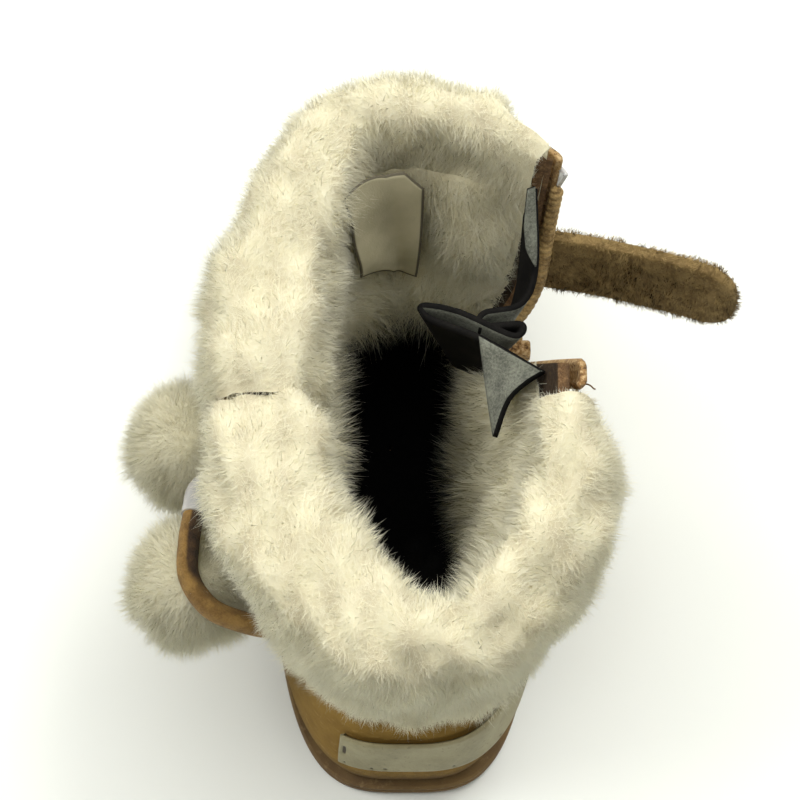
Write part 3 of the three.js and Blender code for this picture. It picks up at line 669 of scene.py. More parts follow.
def cuff_grid(cuff, fullness, columns, steps):
    """Points of a cuff: first index round the collar, second up the outside and down the inside."""
    degrees = np.linspace(cuff["start"], cuff["end"], columns)
    angle = np.radians(degrees)
    from_end = np.minimum(degrees - cuff["start"], cuff["end"] - degrees)
    ends = FUR["end_full"] + (1 - FUR["end_full"]) * np.sqrt(smooth(from_end / FUR["end_round"]))
    full = ends * fullness
    bare = smooth((degrees - cuff["thin_from"]) / (cuff["bare_from"] - cuff["thin_from"]))
    back = smooth((-np.cos(angle) - SKIRT["start"]) / (1 - SKIRT["start"]))
    skirt = SKIRT["side"] + (SKIRT["back"] - SKIRT["side"]) * back
    fullest = 1 + 0.4 * np.exp(-(((degrees - FUR["fullest"]) / 28) ** 2))
    out = FUR["out"] * fullest * full * (1 - bare) - WALL / 2 * bare
    deep = np.maximum(0, np.cos(angle - math.radians(FUR["deepest"]))) ** 0.7
    inside = (FUR["inside"] + FUR["deep_extra"] * deep) * full
    rim, away = upper_point(np.ones(columns), angle), outwards(np.ones(columns), angle)
    away = unit(away * (1, 1, 0))
    rows = [on_upper(skirt + (1 - skirt) * up, angle, GAP + o * out) for up, o in SKIRT_PROFILE]
    for o, up in CREST_PROFILE:
        reach = o * out if o > 0 else o * (WALL + inside)
        rows.append(rim + away * reach[:, None] + UP * (GAP + up * FUR["crest"] * full)[:, None])
    rows += [on_upper(LINING_EDGE + (1 - LINING_EDGE) * up, angle, -(WALL + GAP + i * inside))
             for up, i in INNER_PROFILE]
    return finer(np.stack(rows, axis=1), steps), degrees, bare


for name, cuff in CUFFS.items():
    print(name, "is", round(run_of(cuff_grid(cuff, COAT, 80, 2)[0][:, 0])[-1]), "mm long round the collar")


# %% Soft lumps and surfaces
def directions(grid):
    """Each point's normal and the directions of the grid's two axes."""
    first, second = np.gradient(grid, axis=0), np.gradient(grid, axis=1)
    return unit(np.cross(second, first)), unit(first), unit(second)


def drift(p, rng, size):
    """A smooth random direction for each point, which changes over about that many millimetres."""
    waves = rng.normal(size=(4, 3, 3)) * (2 * math.pi / size / 2)
    phase = rng.random((4, 3)) * 2 * math.pi
    return sum(np.sin(p @ w.T + f) for w, f in zip(waves, phase)) / 2


def surface_piece(name, columns, rows, place, turned=False, closed=False):
    """A grid primitive whose points are laid on a surface by place(u, v)."""
    bpy.ops.object.select_all(action="DESELECT")
    bpy.ops.mesh.primitive_grid_add(x_subdivisions=columns, y_subdivisions=rows, size=1, location=(0, 0, 0))
    piece = new_piece(name)
    uv = points_of(piece)[:, :2] * MM + 0.5
    piece.data.vertices.foreach_set("co", (place(uv[:, 0], uv[:, 1]) * MM).ravel())
    piece.data.update()
    bpy.ops.object.mode_set(mode="EDIT")
    bpy.ops.mesh.select_all(action="SELECT")
    if closed:
        bpy.ops.mesh.remove_doubles(threshold=1e-6)
    if turned:
        bpy.ops.mesh.flip_normals()
    bpy.ops.object.mode_set(mode="OBJECT")
    bpy.ops.object.shade_smooth()
    return piece


def by_grid(grid):
    """A place(u, v) that reads a grid of points."""
    return lambda u, v: lattice(grid, u * (len(grid) - 1), v * (len(grid[0]) - 1))


def lumps(p, rng, deep):
    """How far soft lumps of wool stand up at each point."""
    return deep * (0.6 * drift(p, rng, 14)[..., 0] + 0.4 * drift(p, rng, 6)[..., 1])


lump_at_heel = lumps(heel, np.random.default_rng(0), 1.0)
print("lumps: a lump at the heel may be", round(float(lump_at_heel), 2), "of their depth")


# %% Cuffs
CUFF_WOOL = dict(lumps=1.5, length=3.0, longer=1.4, wisps=0.1, wisp=0.45, tone=0.88, crest=0.58, hold=0.4)


def fur_cuff(name, cuff, seed):
    rng = np.random.default_rng(seed)
    grid, degrees, bare = cuff_grid(cuff, COAT, 160, 10)
    v = np.linspace(0, 1, grid.shape[1])
    free = smooth(np.minimum(v, 1 - v) / 0.12)
    lump = lumps(grid, rng, CUFF_WOOL["lumps"]) * free * (1 - bare[:, None])
    grid = grid + directions(grid)[0] * lump[..., None]
    normal, across, along = directions(grid)
    outside = 1 - smooth((v - 0.45) / 0.15)
    density = 1 - (bare[:, None] > 0.3) * outside[None, :]
    i, j = scatter(grid, cuff["hairs"] + cuff["underwool"], rng, density[:-1, :-1])
    n = unit(lattice(normal, i, j))
    root = lattice(grid, i, j) - n * 0.4
    place = j / (len(v) - 1)
    angle = np.interp(i, np.arange(len(degrees)), degrees)
    from_crest = place - CUFF_WOOL["crest"]
    fall = np.tanh(from_crest / 0.22)[:, None] * lattice(along, i, j)
    near_start, near_end = np.exp(-(angle - cuff["start"]) / 4), np.exp(-(cuff["end"] - angle) / 4)
    fan = lattice(across, i, j) * (near_end - near_start)[:, None]
    flow = unit(fall + fan * 0.6 + drift(root, rng, 20) * 0.5 + drift(root, rng, 7) * 0.45)
    back = smooth((-np.cos(np.radians(angle)) - 0.3) / 0.7)
    wisp = 1 + CUFF_WOOL["wisp"] * (rng.random(len(root)) < CUFF_WOOL["wisps"])
    length = (CUFF_WOOL["length"] + CUFF_WOOL["longer"] * rng.random(len(root))) * wisp
    length = length * (1 - 0.35 * (near_start + near_end))
    stand = 0.52 + 0.2 * np.exp(-((from_crest / 0.2) ** 2))
    edge = np.exp(-(np.minimum(angle - cuff["start"], cuff["end"] - angle) / 1.6) ** 2)
    # Low on the back the wool is toned down as painted shade, where it faces down and away from the light.
    low = back * (1 - smooth(place / 0.3))
    tone = CUFF_WOOL["tone"] + 0.05 * rng.normal(size=len(root)) - 0.45 * edge * (place < 0.6) - 0.25 * low
    base = surface_piece(name + "_body", 80, 50, by_grid(grid), turned=True)
    map_base(base)
    wools = coat(name, cuff["hairs"], root, n, flow, length, stand, tone, rng, hold=CUFF_WOOL["hold"])
    return dress(join([base, *wools], name.replace("cuff", "fur")), "sheepskin", name, WOOL)


for n, (name, cuff) in enumerate(CUFFS.items()):
    fur_cuff(name, cuff, 21 + n)

# %% [markdown]
# ## Lining
# The same sheepskin lines the whole inside, down to the footbed. Its wool is deepest low down and over the
# instep, where it closes in over the footbed and leaves only a narrow strip of it to see. It stops at the
# slit. It is made like the cuffs: a soft body as deep as half the wool, with hairs on it.

# %% Where the lining's wool is
TAB = dict(y=12, z=87)  # behind the slit, the leather is bare from here on and up
SLIT = dict(front_y=62, front_z=101, rear_y=20.5, rear_z=97, foot_y=49, foot_z=48, foot_half=2.5, inner_x=7)
LINING = dict(low=0.06, high=0.955, hairs=26000, underwool=92000, shaft=7, sole=14, outer=3, clear=8.4,
              lumps=1.2, tone=0.92, upright=0.62, hold=0.4)
TUCKED = dict(from_angle=60, reach=30, from_share=0.86, height=0.08, left=0.15)  # behind the rear cuff
# Where the wool is deeper, as (angle, reach) in degrees, (share of the height, reach) and depth: over the
# instep, on the outer side and on the flap
DEEP_WOOL = [((-6, 52), (0.715, 0.10), 21), ((-84, 34), (0.64, 0.16), 13.5), ((24, 15), (0.88, 0.08), 14)]
DULL_SPOTS = [(-14, 0.765), (-20, 0.70)]  # two dull spots in front, as angle and share
# The label's low and high edges are given at its left, middle and right
LABEL = dict(start=-44, end=8, low=(0.89, 0.838, 0.825), high=(0.99, 0.968, 0.965), above_wall=8.4)


def slit_sides(z):
    """The slit's rear and front edges at a height, as places along the foot."""
    foot_z, sides = SLIT["foot_z"], []
    for side, half in (("rear", -SLIT["foot_half"]), ("front", SLIT["foot_half"])):
        foot_y = SLIT["foot_y"] + half
        sides.append(foot_y + (SLIT[side + "_y"] - foot_y) * (z - foot_z) / (SLIT[side + "_z"] - foot_z))
    return sides


def in_slit(p, margin):
    """Where there is no wool: in the slit, and on the tab behind it."""
    rear, front = slit_sides(p[:, 2])
    within = (p[:, 1] > rear - margin) & (p[:, 1] < front + margin) & (p[:, 2] > SLIT["foot_z"] - 2 - margin)
    on_tab = (p[:, 1] > TAB["y"]) & (p[:, 1] < SLIT["foot_y"]) & (p[:, 2] > TAB["z"])
    return (within | on_tab) & (p[:, 0] > SLIT["inner_x"])


def beside_slit(p, reach=5):
    """A third at the slit and 1 away from it, so that the wool thins out towards its edges."""
    rear, front = slit_sides(p[..., 2])
    off = np.maximum(rear - p[..., 1], p[..., 1] - front)
    near = (p[..., 0] > SLIT["inner_x"]) & (p[..., 2] > SLIT["foot_z"] - 4)
    return np.where(near, 0.35 + 0.65 * smooth(off / reach), 1)


def pile_depth(share, angle):
    """How deep the lining's wool is."""
    low = 1 - smooth((share - 0.15) / 0.55)
    deep = LINING["shaft"] + (LINING["sole"] - LINING["shaft"]) * low
    deep = deep - LINING["outer"] * low * np.minimum(0, np.sin(angle))
    for (turn, reach), (level, height), most in DEEP_WOOL:
        off = (np.degrees(angle) - turn + 180) % 360 - 180
        deep = np.maximum(deep, most * np.exp(-((off / reach) ** 4) - ((share - level) / height) ** 2))
    return deep


print("lining:", round(float(pile_depth(LINING["low"], math.pi)), 1), "mm of wool low at the heel")


# %% Lining
def uv_of(piece):
    """The place on the map of each corner of the faces."""
    uv = np.empty(len(piece.data.loops) * 2)
    piece.data.uv_layers.active.data.foreach_get("uv", uv)
    return uv.reshape(-1, 2)


def lining(seed):
    rng = np.random.default_rng(seed)
    share, angle = np.linspace(LINING["low"], LINING["high"], 60), np.linspace(0, 2 * math.pi, 200)
    level, turn = np.meshgrid(share, angle)
    wall = on_upper(level, turn, -WALL)
    rear = smooth((np.abs((np.degrees(turn) + 180) % 360 - 180) - TUCKED["from_angle"]) / TUCKED["reach"])
    tucked = rear * smooth((level - TUCKED["from_share"]) / TUCKED["height"])
    deep = pile_depth(level, turn) * beside_slit(wall) * (1 - (1 - TUCKED["left"]) * tucked)
    grid = on_upper(level, turn, -(WALL + GAP + 0.5 * deep))
    lump = np.clip(lumps(wall, rng, LINING["lumps"]), -1, 2)
    grid = grid - directions(grid)[0] * (beside_slit(wall) * lump)[..., None]
    normal, _, along = directions(grid)
    toe = smooth((grid[..., 1] - 85) / 20)
    i, j = scatter(grid, LINING["hairs"] + LINING["underwool"], rng, (1 - 0.9 * toe)[:-1, :-1])
    root = lattice(grid, i, j)
    behind_wool = lattice(wall, i, j)
    kept = ~in_slit(behind_wool, 0.2)
    i, j, root, edge = i[kept], j[kept], root[kept], beside_slit(behind_wool)[kept]
    n = -unit(lattice(normal, i, j))
    turn, level = np.interp(i, np.arange(len(angle)), angle), np.interp(j, np.arange(len(share)), share)
    flow = unit(-lattice(along, i, j) + drift(root, rng, 22) * 0.4 + drift(root, rng, 8) * 0.35)
    flow = unit(flow * (1, 1, 0.2) + UP * np.where(level < 0.25, 0.5, 0)[:, None])
    length = 1.5 + 0.62 * pile_depth(level, turn) * (0.4 + 0.6 * edge)
    length = length * (0.85 + 0.3 * rng.random(len(root)))
    degrees = (np.degrees(turn) + 180) % 360 - 180
    behind = (degrees > LABEL["start"]) & (degrees < LABEL["end"])
    behind &= (level > min(LABEL["low"]) - 0.02) & (level < max(LABEL["high"]) + 0.02)
    length = np.where(behind, 2.5, length)
    floor = LINING["clear"] + spring_at(root[:, 1]) + 0.3 * rng.random(len(root))
    tone = LINING["tone"] + 0.06 * rng.normal(size=len(root))
    for at, height in DULL_SPOTS:
        tone -= 0.4 * np.exp(-(((degrees - at) / 7) ** 2) - ((level - height) / 0.022) ** 2)
    base = surface_piece("lining_hide", 150, 40, by_grid(grid), closed=True)
    bpy.ops.object.mode_set(mode="EDIT")
    bpy.ops.mesh.select_all(action="DESELECT")
    bpy.ops.object.mode_set(mode="OBJECT")
    middle = uv_of(base).reshape(-1, 4, 2).mean(1).T
    too_low = by_grid(grid)(*middle)[:, 2] < LINING["clear"] - 1
    base.data.polygons.foreach_set("select", in_slit(by_grid(wall)(*middle), 0.6) | too_low)
    bpy.ops.object.mode_set(mode="EDIT")
    bpy.ops.mesh.delete(type="FACE")
    bpy.ops.object.mode_set(mode="OBJECT")
    map_base(base)
    wools = coat("lining", LINING["hairs"], root, n, flow, length, LINING["upright"], tone, rng,
                 hold=LINING["hold"], floor=floor)
    return dress(join([base, *wools], "fur_lining"), "sheepskin", "lining", WOOL)


lining(31)

# %% [markdown]
# ## Footbed
# A black felt footbed lies on the sole inside the boot. It has the outline of the last, drawn in by the
# wall. Rings of that outline, from the rim to the middle, make a plate whose top sinks a little under the
# heel and rises at the rim. Felt is fibres pressed together: nearly black, dead matt and faintly grey where
# it is worn.

# %% Footbed
INSOLE = dict(thickness=3, inset=1)


def apply_modifier(piece, kind, **settings):
    """Adds a modifier with its settings and applies it."""
    pick(piece)
    modifier = piece.modifiers.new(kind.title(), kind)
    for key, value in settings.items():
        setattr(modifier, key, value)
    bpy.ops.object.modifier_apply(modifier=modifier.name)


def plate_place(outline, rings):
    """A place(u, v) for a plate: u goes round its outline, v through rings of (share, inset, height)."""
    middle = outline(np.linspace(0, 2 * math.pi, 240, endpoint=False)).mean(0)[:2]
    rings = np.array(rings, float)

    def place(u, v):
        edge = outline(u * 2 * math.pi)[:, :2] - middle
        share, inset, height = (np.interp(v, np.linspace(0, 1, len(rings)), rings[:, k]) for k in range(3))
        edge = edge * (share * (1 - inset / np.linalg.norm(edge, axis=1)))[:, None] + middle
        return np.column_stack([edge, height + spring_at(edge[:, 1])])

    return place


def insole_edge(angle):
    return on_upper(np.zeros_like(angle), angle, -(WALL + INSOLE["inset"]))


def footbed():
    low, high = SOLE_THICKNESS + 2 * GAP, SOLE_THICKNESS + 2 * GAP + INSOLE["thickness"]
    rings = [
        (0.01, 0, low), (0.5, 0, low), (1, 0.6, low), (1, 0, low + 0.6), (1, 0, high - 0.6), (1, 0.6, high),
        (0.9, 0.6, high), (0.7, 0, high - 0.4), (0.4, 0, high - 0.5), (0.2, 0, high - 0.5),
        (0.01, 0, high - 0.5),
    ]
    return surface_piece("felt_footbed", 120, 40, plate_place(insole_edge, rings), closed=True)


def black_felt():
    material, tree, place = start_finish("black felt")
    fibre, patch = place.noise(1900, 5, 0.75), place.noise(60, 2)
    worn = (patch * 0.8 + fibre * 0.25).between(0.56, 0.74)
    colour = worn.mix((0.0022, 0.0024, 0.0028), (0.010, 0.010, 0.010))
    return end_finish(material, tree, colour, 0.97 - fibre * 0.05, fibre, 0.0003, Specular_IOR_Level=0.06)


def recalculate(piece):
    """Turns all faces outwards."""
    pick(piece)
    bpy.ops.object.mode_set(mode="EDIT")
    bpy.ops.mesh.select_all(action="SELECT")
    bpy.ops.mesh.normals_make_consistent(inside=False)
    bpy.ops.object.mode_set(mode="OBJECT")


insole = footbed()
recalculate(insole)
dress(insole, "footbed", "insole", black_felt())

# %% [markdown]
# ## Upper
# The upper is nubuck, a leather sanded to a short velvet. It is laid on the last as a grid, with the creases
# of wear pressed in: across the ball, where the foot bends, over the instep and at the heel. Solidify
# gives the leather its wall, and a wedge cuts the slit out of it. The cut shows the raw brown edge and the
# inside the flesh side, darkened as painted shade, so both have finishes of their own.

# %% Creases and the slit's wedge
# Each crease: share of the height, angle in degrees, half length in degrees, width as a share, depth, slope
CREASES = [
    (0.415, 4, 40, 0.020, 0.9, 0.00), (0.475, -6, 46, 0.022, 1.1, 0.02), (0.53, 6, 44, 0.020, 0.8, -0.02),
    (0.60, 0, 60, 0.024, 1.0, 0.03), (0.67, -8, 58, 0.024, 0.8, -0.03), (0.36, -48, 26, 0.018, 0.7, 0.08),
    (0.34, 52, 24, 0.018, 0.7, -0.08), (0.50, 180, 42, 0.024, 0.9, 0.02), (0.43, 168, 34, 0.020, 0.6, -0.04),
    (0.48, -112, 24, 0.022, 0.8, 0.10), (0.50, 108, 22, 0.020, 0.6, -0.10),
]


def crease_depth(share, angle):
    depth = np.zeros_like(share)
    for at, turn, half, width, deep, slope in CREASES:
        off = (np.degrees(angle) - turn + 180) % 360 - 180
        across = (share - at - slope * np.radians(off)) / width
        fade = np.exp(-((off / half) ** 4))
        depth += fade * (deep * np.exp(-(across**2)) - 0.35 * deep * np.exp(-((np.abs(across) - 1.9) ** 2)))
    swell = 0.25 * np.sin(9 * share + 2.3 * np.sin(angle)) * np.sin(3 * angle + 7 * share)
    return depth + swell


def slit_wedge(margin):
    """A block across the inner wall with the slit's outline."""
    z_top, reach = 130, (7, 60)
    rear, front = slit_sides(np.array([z_top, SLIT["foot_z"]], float))
    half = SLIT["foot_half"] + margin
    foot = [(SLIT["foot_y"] + half * math.cos(a), SLIT["foot_z"] - half * 1.1 * math.sin(a))
            for a in np.linspace(math.pi, 0, 9)]
    outline = [(rear[0] - margin, z_top), *foot, (front[0] + margin, z_top)]
    bpy.ops.object.select_all(action="DESELECT")
    bpy.ops.mesh.primitive_circle_add(vertices=len(outline), fill_type="NGON", location=(0, 0, 0))
    wedge = new_piece("slit_wedge")
    face = np.array([(reach[0], y, z) for y, z in outline])
    wedge.data.vertices.foreach_set("co", (face * MM).ravel())
    bpy.ops.object.mode_set(mode="EDIT")
    bpy.ops.mesh.select_all(action="SELECT")
    bpy.ops.mesh.extrude_region_move(TRANSFORM_OT_translate={"value": ((reach[1] - reach[0]) * MM, 0, 0)})
    bpy.ops.mesh.select_all(action="SELECT")
    bpy.ops.mesh.normals_make_consistent(inside=False)
    bpy.ops.object.mode_set(mode="OBJECT")
    return wedge


print("upper:", len(CREASES), "creases")


# %% Shape the upper
def nubuck_upper():
    def place(u, v):
        angle = u * 2 * math.pi
        return on_upper(v, angle, -crease_depth(v, angle))

    piece, wedge = surface_piece("nubuck_upper", 160, 64, place, turned=True, closed=True), slit_wedge(0)
    for owner in (piece, wedge):
        for material in (NUBUCK, RAW_EDGE, SHADED_FLESH_SIDE):
            owner.data.materials.append(material)
    wedge.data.polygons.foreach_set("material_index", np.ones(len(wedge.data.polygons), np.int32))
    apply_modifier(piece, "SOLIDIFY", thickness=(WALL - 0.2) * MM, offset=-1, use_rim=True, material_offset=2,
                   material_offset_rim=1)
    apply_modifier(piece, "BOOLEAN", operation="DIFFERENCE", object=wedge, solver="EXACT")
    bpy.data.objects.remove(wedge)
    return piece


def nubuck():
    material, tree, place = start_finish("nubuck")
    nap, mottle, scuff = place.noise(3200, 4, 0.7), place.noise(150, 4), place.noise(520, 3, 0.65)
    stretch = tree.node("Mapping", None, Vector=place, Scale=(1, 1, 3.2))
    rub = stretch.noise(330, 5, 0.6)
    tan = mottle.between(0.2, 0.8).mix((0.20, 0.115, 0.022), (0.31, 0.185, 0.040))
    tan = (rub * 0.7 + nap * 0.3).between(0.54, 0.72).mix(tan, (0.44, 0.28, 0.085))
    height = tree.node("SeparateXYZ", None, place).output("Z")
    # Darker towards the bottom of the upper.
    darker_low = (0.0145 - height + (scuff - 0.5) * 0.012).between(-0.004, 0.008)
    colour = (darker_low * 0.75).mix(tan, (0.075, 0.042, 0.016))
    colour = ((scuff - 0.2).between(0.42, 0.5) * 0.4).mix(colour, (0.40, 0.27, 0.10))
    relief = nap * 0.5 + rub * 0.35 + mottle * 0.4
    return end_finish(material, tree, colour, 0.93 - rub * 0.12, relief, 0.0005, Specular_IOR_Level=0.2)


def raw_leather(name, shade):
    material, tree, place = start_finish(name)
    fibre, layer = place.noise(2400, 5, 0.75), place.noise(700, 3)
    dark, brown, pale = (np.array(colour) * shade for colour in (
        (0.045, 0.022, 0.009), (0.16, 0.085, 0.032), (0.36, 0.21, 0.09)))
    colour = (fibre * 0.6 + layer * 0.4).ramp((0.32, tuple(dark)), (0.5, tuple(brown)), (0.68, tuple(pale)))
    return end_finish(material, tree, colour, 0.95 - layer * 0.08, fibre, 0.0006)


NUBUCK = nubuck()
# The flesh side is the raw leather darkened to 0.28 as painted shade on the inside.
RAW_EDGE, SHADED_FLESH_SIDE = raw_leather("raw leather edge", 1), raw_leather("flesh side in painted shade", 0.28)
dress(nubuck_upper(), "nubuck", "upper")

# %% [markdown]
# ## Outsole
# The sole is one thin sheet of brown rubber that bends with the foot. Rings of its outline give the rounded
# edge with its step, and boxes cut the grooves between the lugs. Fine ribs on the lugs are only fractions of
# a millimetre deep, so they are relief in the finish.

# %% Outsole
SOLE_PLAN = dict(back=-30.6, front=TOE_Y, rear=27.8, fore=35.4, heel_round=3.4, toe_round=2.6, swing=1)
LUGS = dict(first=-21, pitch=12, count=12, groove=2.6, depth=1.3, border=6, pad_from=-9, pad_to=11)


def sole_edge(angle):
    x, y, _ = plan_point({k: np.full_like(angle, v, dtype=float) for k, v in SOLE_PLAN.items()}, angle)
    return np.column_stack([x, y, np.zeros_like(x)])


def outsole():
    rings = [
        (0.01, 1.4, 0), (0.3, 1.4, 0), (0.6, 1.4, 0), (0.85, 1.4, 0), (1, 1.5, 0), (1, 0.8, 0.35),  # under
        (1, 0.25, 1.1), (1, 0.05, 2), (1, 0.05, 2.5), (1, 0.55, 2.7), (1, 0.55, 2.9), (1, 0.1, 3.1),  # edge
        (1, 0.15, 3.6), (1, 0.7, 4), (0.85, 0.6, 4), (0.6, 0.6, 4), (0.3, 0.6, 4), (0.01, 0.6, 4),  # top
    ]
    piece = surface_piece("rubber_outsole", 180, 51, plate_place(sole_edge, rings), closed=True)
    recalculate(piece)
    inner, outer = sole_edge(np.linspace(math.pi, 0, 400)), sole_edge(np.linspace(math.pi, 2 * math.pi, 400))
    bars = []
    for y in LUGS["first"] + LUGS["pitch"] * np.arange(LUGS["count"]):
        if LUGS["pad_from"] < y < LUGS["pad_to"]:
            continue
        low, high = (np.interp(y, side[:, 1], side[:, 0]) for side in (outer, inner))
        low, high = low + LUGS["border"], high - LUGS["border"]
        bpy.ops.object.select_all(action="DESELECT")
        bpy.ops.mesh.primitive_cube_add(size=1, location=(0, 0, 0))
        bar = new_piece("groove_bar")
        size = (high - low, LUGS["groove"], 2 * LUGS["depth"])
        at = ((low + high) / 2, y, float(spring_at(y)))
        bar.data.vertices.foreach_set("co", ((points_of(bar) * MM * size + at) * MM).ravel())
        bars.append(bar)
    grooves = join(bars, "grooves")
    apply_modifier(piece, "BOOLEAN", operation="DIFFERENCE", object=grooves, solver="EXACT")
    bpy.data.objects.remove(grooves)
    bpy.ops.object.shade_smooth_by_angle(angle=math.radians(35))
    return piece


def rubber():
    material, tree, place = start_finish("brown rubber")
    cloud, dust, grit = place.noise(90, 3), place.noise(600, 4, 0.7), place.noise(3500, 2)
    rib = tree.node("TexWave", {"bands_direction": "Y"}, Vector=place, Scale=160.0, Distortion=0.6)
    under = 1 - tree.node("SeparateXYZ", None, place).output("Z").between(0.0002, 0.0014)
    colour = cloud.between(0.3, 0.7).mix((0.11, 0.062, 0.020), (0.19, 0.115, 0.036))
    colour = (dust.between(0.52, 0.7) * 0.6).mix(colour, (0.27, 0.18, 0.08))
    relief = grit * 0.3 + dust * 0.2 + rib.output("Fac") * under
    return end_finish(material, tree, colour, 0.55 + dust * 0.35, relief, 0.0004)


dress(outsole(), "sole_rubber", "outsole", rubber())

# %% [markdown]
# ## Heel strip
# A cream strip is sewn flat round the heel, low on the back, and ends square on the outer side. It is a patch
# of the last's own surface, lifted a little, given its thickness and rounded at the edges. A slot near its
# end and a few pin holes are pressed in, and painted dark inside as their shade. It carries nothing else.

# %% Heel strip
HEEL_STRIP = dict(start=112, end=197, low=0.155, high=0.265, thickness=1.4)
STRIP_SLOT = dict(angle=194.6, share=0.213, across=0.7, up=0.016)  # in degrees and as a share of the height
STRIP_PINS = [(194.2, 0.166), (185.6, 0.165), (182.4, 0.166), (170, 0.167), (150, 0.168), (128, 0.168)]


def strip_dents(angle, share):
    """0 to 1: how deep the slot and the pin holes are at a place."""
    slot = STRIP_SLOT
    across, up = (angle - slot["angle"]) / slot["across"], (share - slot["share"]) / slot["up"]
    deep = np.exp(-(across**4) - up**4)
    for turn, level in STRIP_PINS:
        deep = np.maximum(deep, np.exp(-(((angle - turn) / 0.55) ** 2) - (((share - level) / 0.0035) ** 2)))
    return deep


def round_off(edge, deep=0.5):
    """How far a surface falls away at its edge, in a quarter circle. Edge goes from 0 there to 1."""
    return deep * (1 - np.sqrt(1 - (1 - np.clip(edge, 0, 1)) ** 2))


def heel_strip():
    def shares(u, v):
        return (HEEL_STRIP["start"] + (HEEL_STRIP["end"] - HEEL_STRIP["start"]) * u,
                HEEL_STRIP["low"] + (HEEL_STRIP["high"] - HEEL_STRIP["low"]) * v)

    def place(u, v):
        angle, share = shares(u, v)
        wave = 0.12 * np.sin(angle * 0.21) * np.sin(share * 60)
        out = GAP + HEEL_STRIP["thickness"] + wave - 0.5 * strip_dents(angle, share)
        edge = np.minimum(np.minimum(u, 1 - u) * 70, np.minimum(v, 1 - v) * 12)
        return on_upper(share, np.radians(angle), out - round_off(edge))

    piece = surface_piece("cream_strip", 220, 26, place, turned=True)
    deep = np.zeros(len(piece.data.vertices))
    deep[loops_of(piece)] = strip_dents(*shares(*uv_of(piece).T))
    keep_value(piece, "dent", deep)
    apply_modifier(piece, "SOLIDIFY", thickness=(HEEL_STRIP["thickness"] - 0.1) * MM, offset=-1)
    return piece


def cream_strip():
    material, tree, place = start_finish("cream strip")
    dent = tree.node("Attribute", {"attribute_name": "dent"}, out=2)
    grain, smear = place.noise(1500, 4), place.noise(110, 4, 0.65)
    colour = smear.between(0.3, 0.72).mix((0.22, 0.195, 0.100), (0.34, 0.305, 0.175))
    colour = (place.noise(900, 2, 0.7).between(0.62, 0.7) * 0.5).mix(colour, (0.15, 0.12, 0.06))
    # The slot and the pin holes are painted dark as the shade inside them.
    colour = dent.between(0.25, 0.7).mix(colour, (0.05, 0.035, 0.015))
    return end_finish(material, tree, colour, 0.42 + smear * 0.25, grain, 0.00012)


dress(heel_strip(), "pale_strip", "heel_strip", cream_strip())

# %% [markdown]
# ## Slit facing and piping
# Both edges of the slit are bound with a tan suede facing. Along the front flap a whip-stitched piping lies
# over the edge like a thin rope. The slit is straight when it is seen from the inner side, so its line is
# given there, along the foot and up, and a few steps of Newton's method find the place on the last for
# every point of it.

# %% Places on the inner side
FACING = dict(width=4, thickness=1.4, lift=0.5)
FOOT_FROM, FOOT_TO = 0.46, 0.54  # the part of the slit's outline that goes round its foot
NEWTON_STEPS, NEWTON_PACE, TINY = 14, 0.8, 1e-3


def on_side(y, z, out):
    """Points of the inner side at a place along the foot and a height, moved out."""
    y, z = (np.asarray(a, float) for a in np.broadcast_arrays(y, z))
    share, angle = np.clip((z + 5) / 110, 0.3, 0.97), np.radians(np.clip(95 - y * 0.95, 30, 115))
    for _ in range(NEWTON_STEPS):
        here, above = upper_point(share, angle), np.minimum(share + TINY, 1)
        by_share = upper_point(above, angle) - upper_point(share - TINY, angle)
        by_share = by_share / (above - share + TINY)[..., None]
        by_angle = (upper_point(share, angle + TINY) - upper_point(share, angle - TINY)) / (2 * TINY)
        miss_y, miss_z = y - here[..., 1], z - here[..., 2]
        turn = by_share[..., 1] * by_angle[..., 2] - by_share[..., 2] * by_angle[..., 1]
        turn = np.where(np.abs(turn) < 1, np.sign(turn + 1e-12), turn)
        up, round_foot = (miss_y * by_angle[..., 2] - miss_z * by_angle[..., 1],
                          by_share[..., 1] * miss_z - by_share[..., 2] * miss_y)
        share = np.clip(share + NEWTON_PACE * up / turn, 0.02, 1)
        angle = np.clip(angle + NEWTON_PACE * round_foot / turn, 0.2, 2.4)
    return on_upper(share, angle, out)


def slit_line(t, margin):
    """The slit's outline, moved out by a margin: t runs from the rear top round the foot to the front top."""
    foot_z, half = SLIT["foot_z"], SLIT["foot_half"] + margin
    rear_y, front_y = SLIT["foot_y"] - half, SLIT["foot_y"] + half
    along_rear, along_front = np.clip(1 - t / FOOT_FROM, 0, 1), np.clip((t - FOOT_TO) / (1 - FOOT_TO), 0, 1)
    a = math.pi * np.clip((t - FOOT_FROM) / (FOOT_TO - FOOT_FROM), 0, 1)
    y = SLIT["foot_y"] - half * np.cos(a)
    z = foot_z - half * 1.1 * np.sin(a)
    y = y + (SLIT["rear_y"] - margin - rear_y) * along_rear
    y = y + (SLIT["front_y"] + margin - front_y) * along_front
    z = z + (SLIT["rear_z"] - foot_z) * along_rear + (SLIT["front_z"] - foot_z) * along_front
    return y, z


print("slit: its foot is at", np.round(on_side(*slit_line(0.5, 0), 0), 1).tolist())


# %% Facing
def suede_facing():
    def place(u, v):
        y, z = slit_line(u, 0.15 + v * FACING["width"])
        return on_side(y, z, FACING["lift"] + FACING["thickness"] - round_off(np.minimum(v, 1 - v) * 5))

    piece = surface_piece("suede_facing", 160, 14, place)
    apply_modifier(piece, "SOLIDIFY", thickness=(FACING["thickness"] - 0.1) * MM, offset=-1)
    return piece


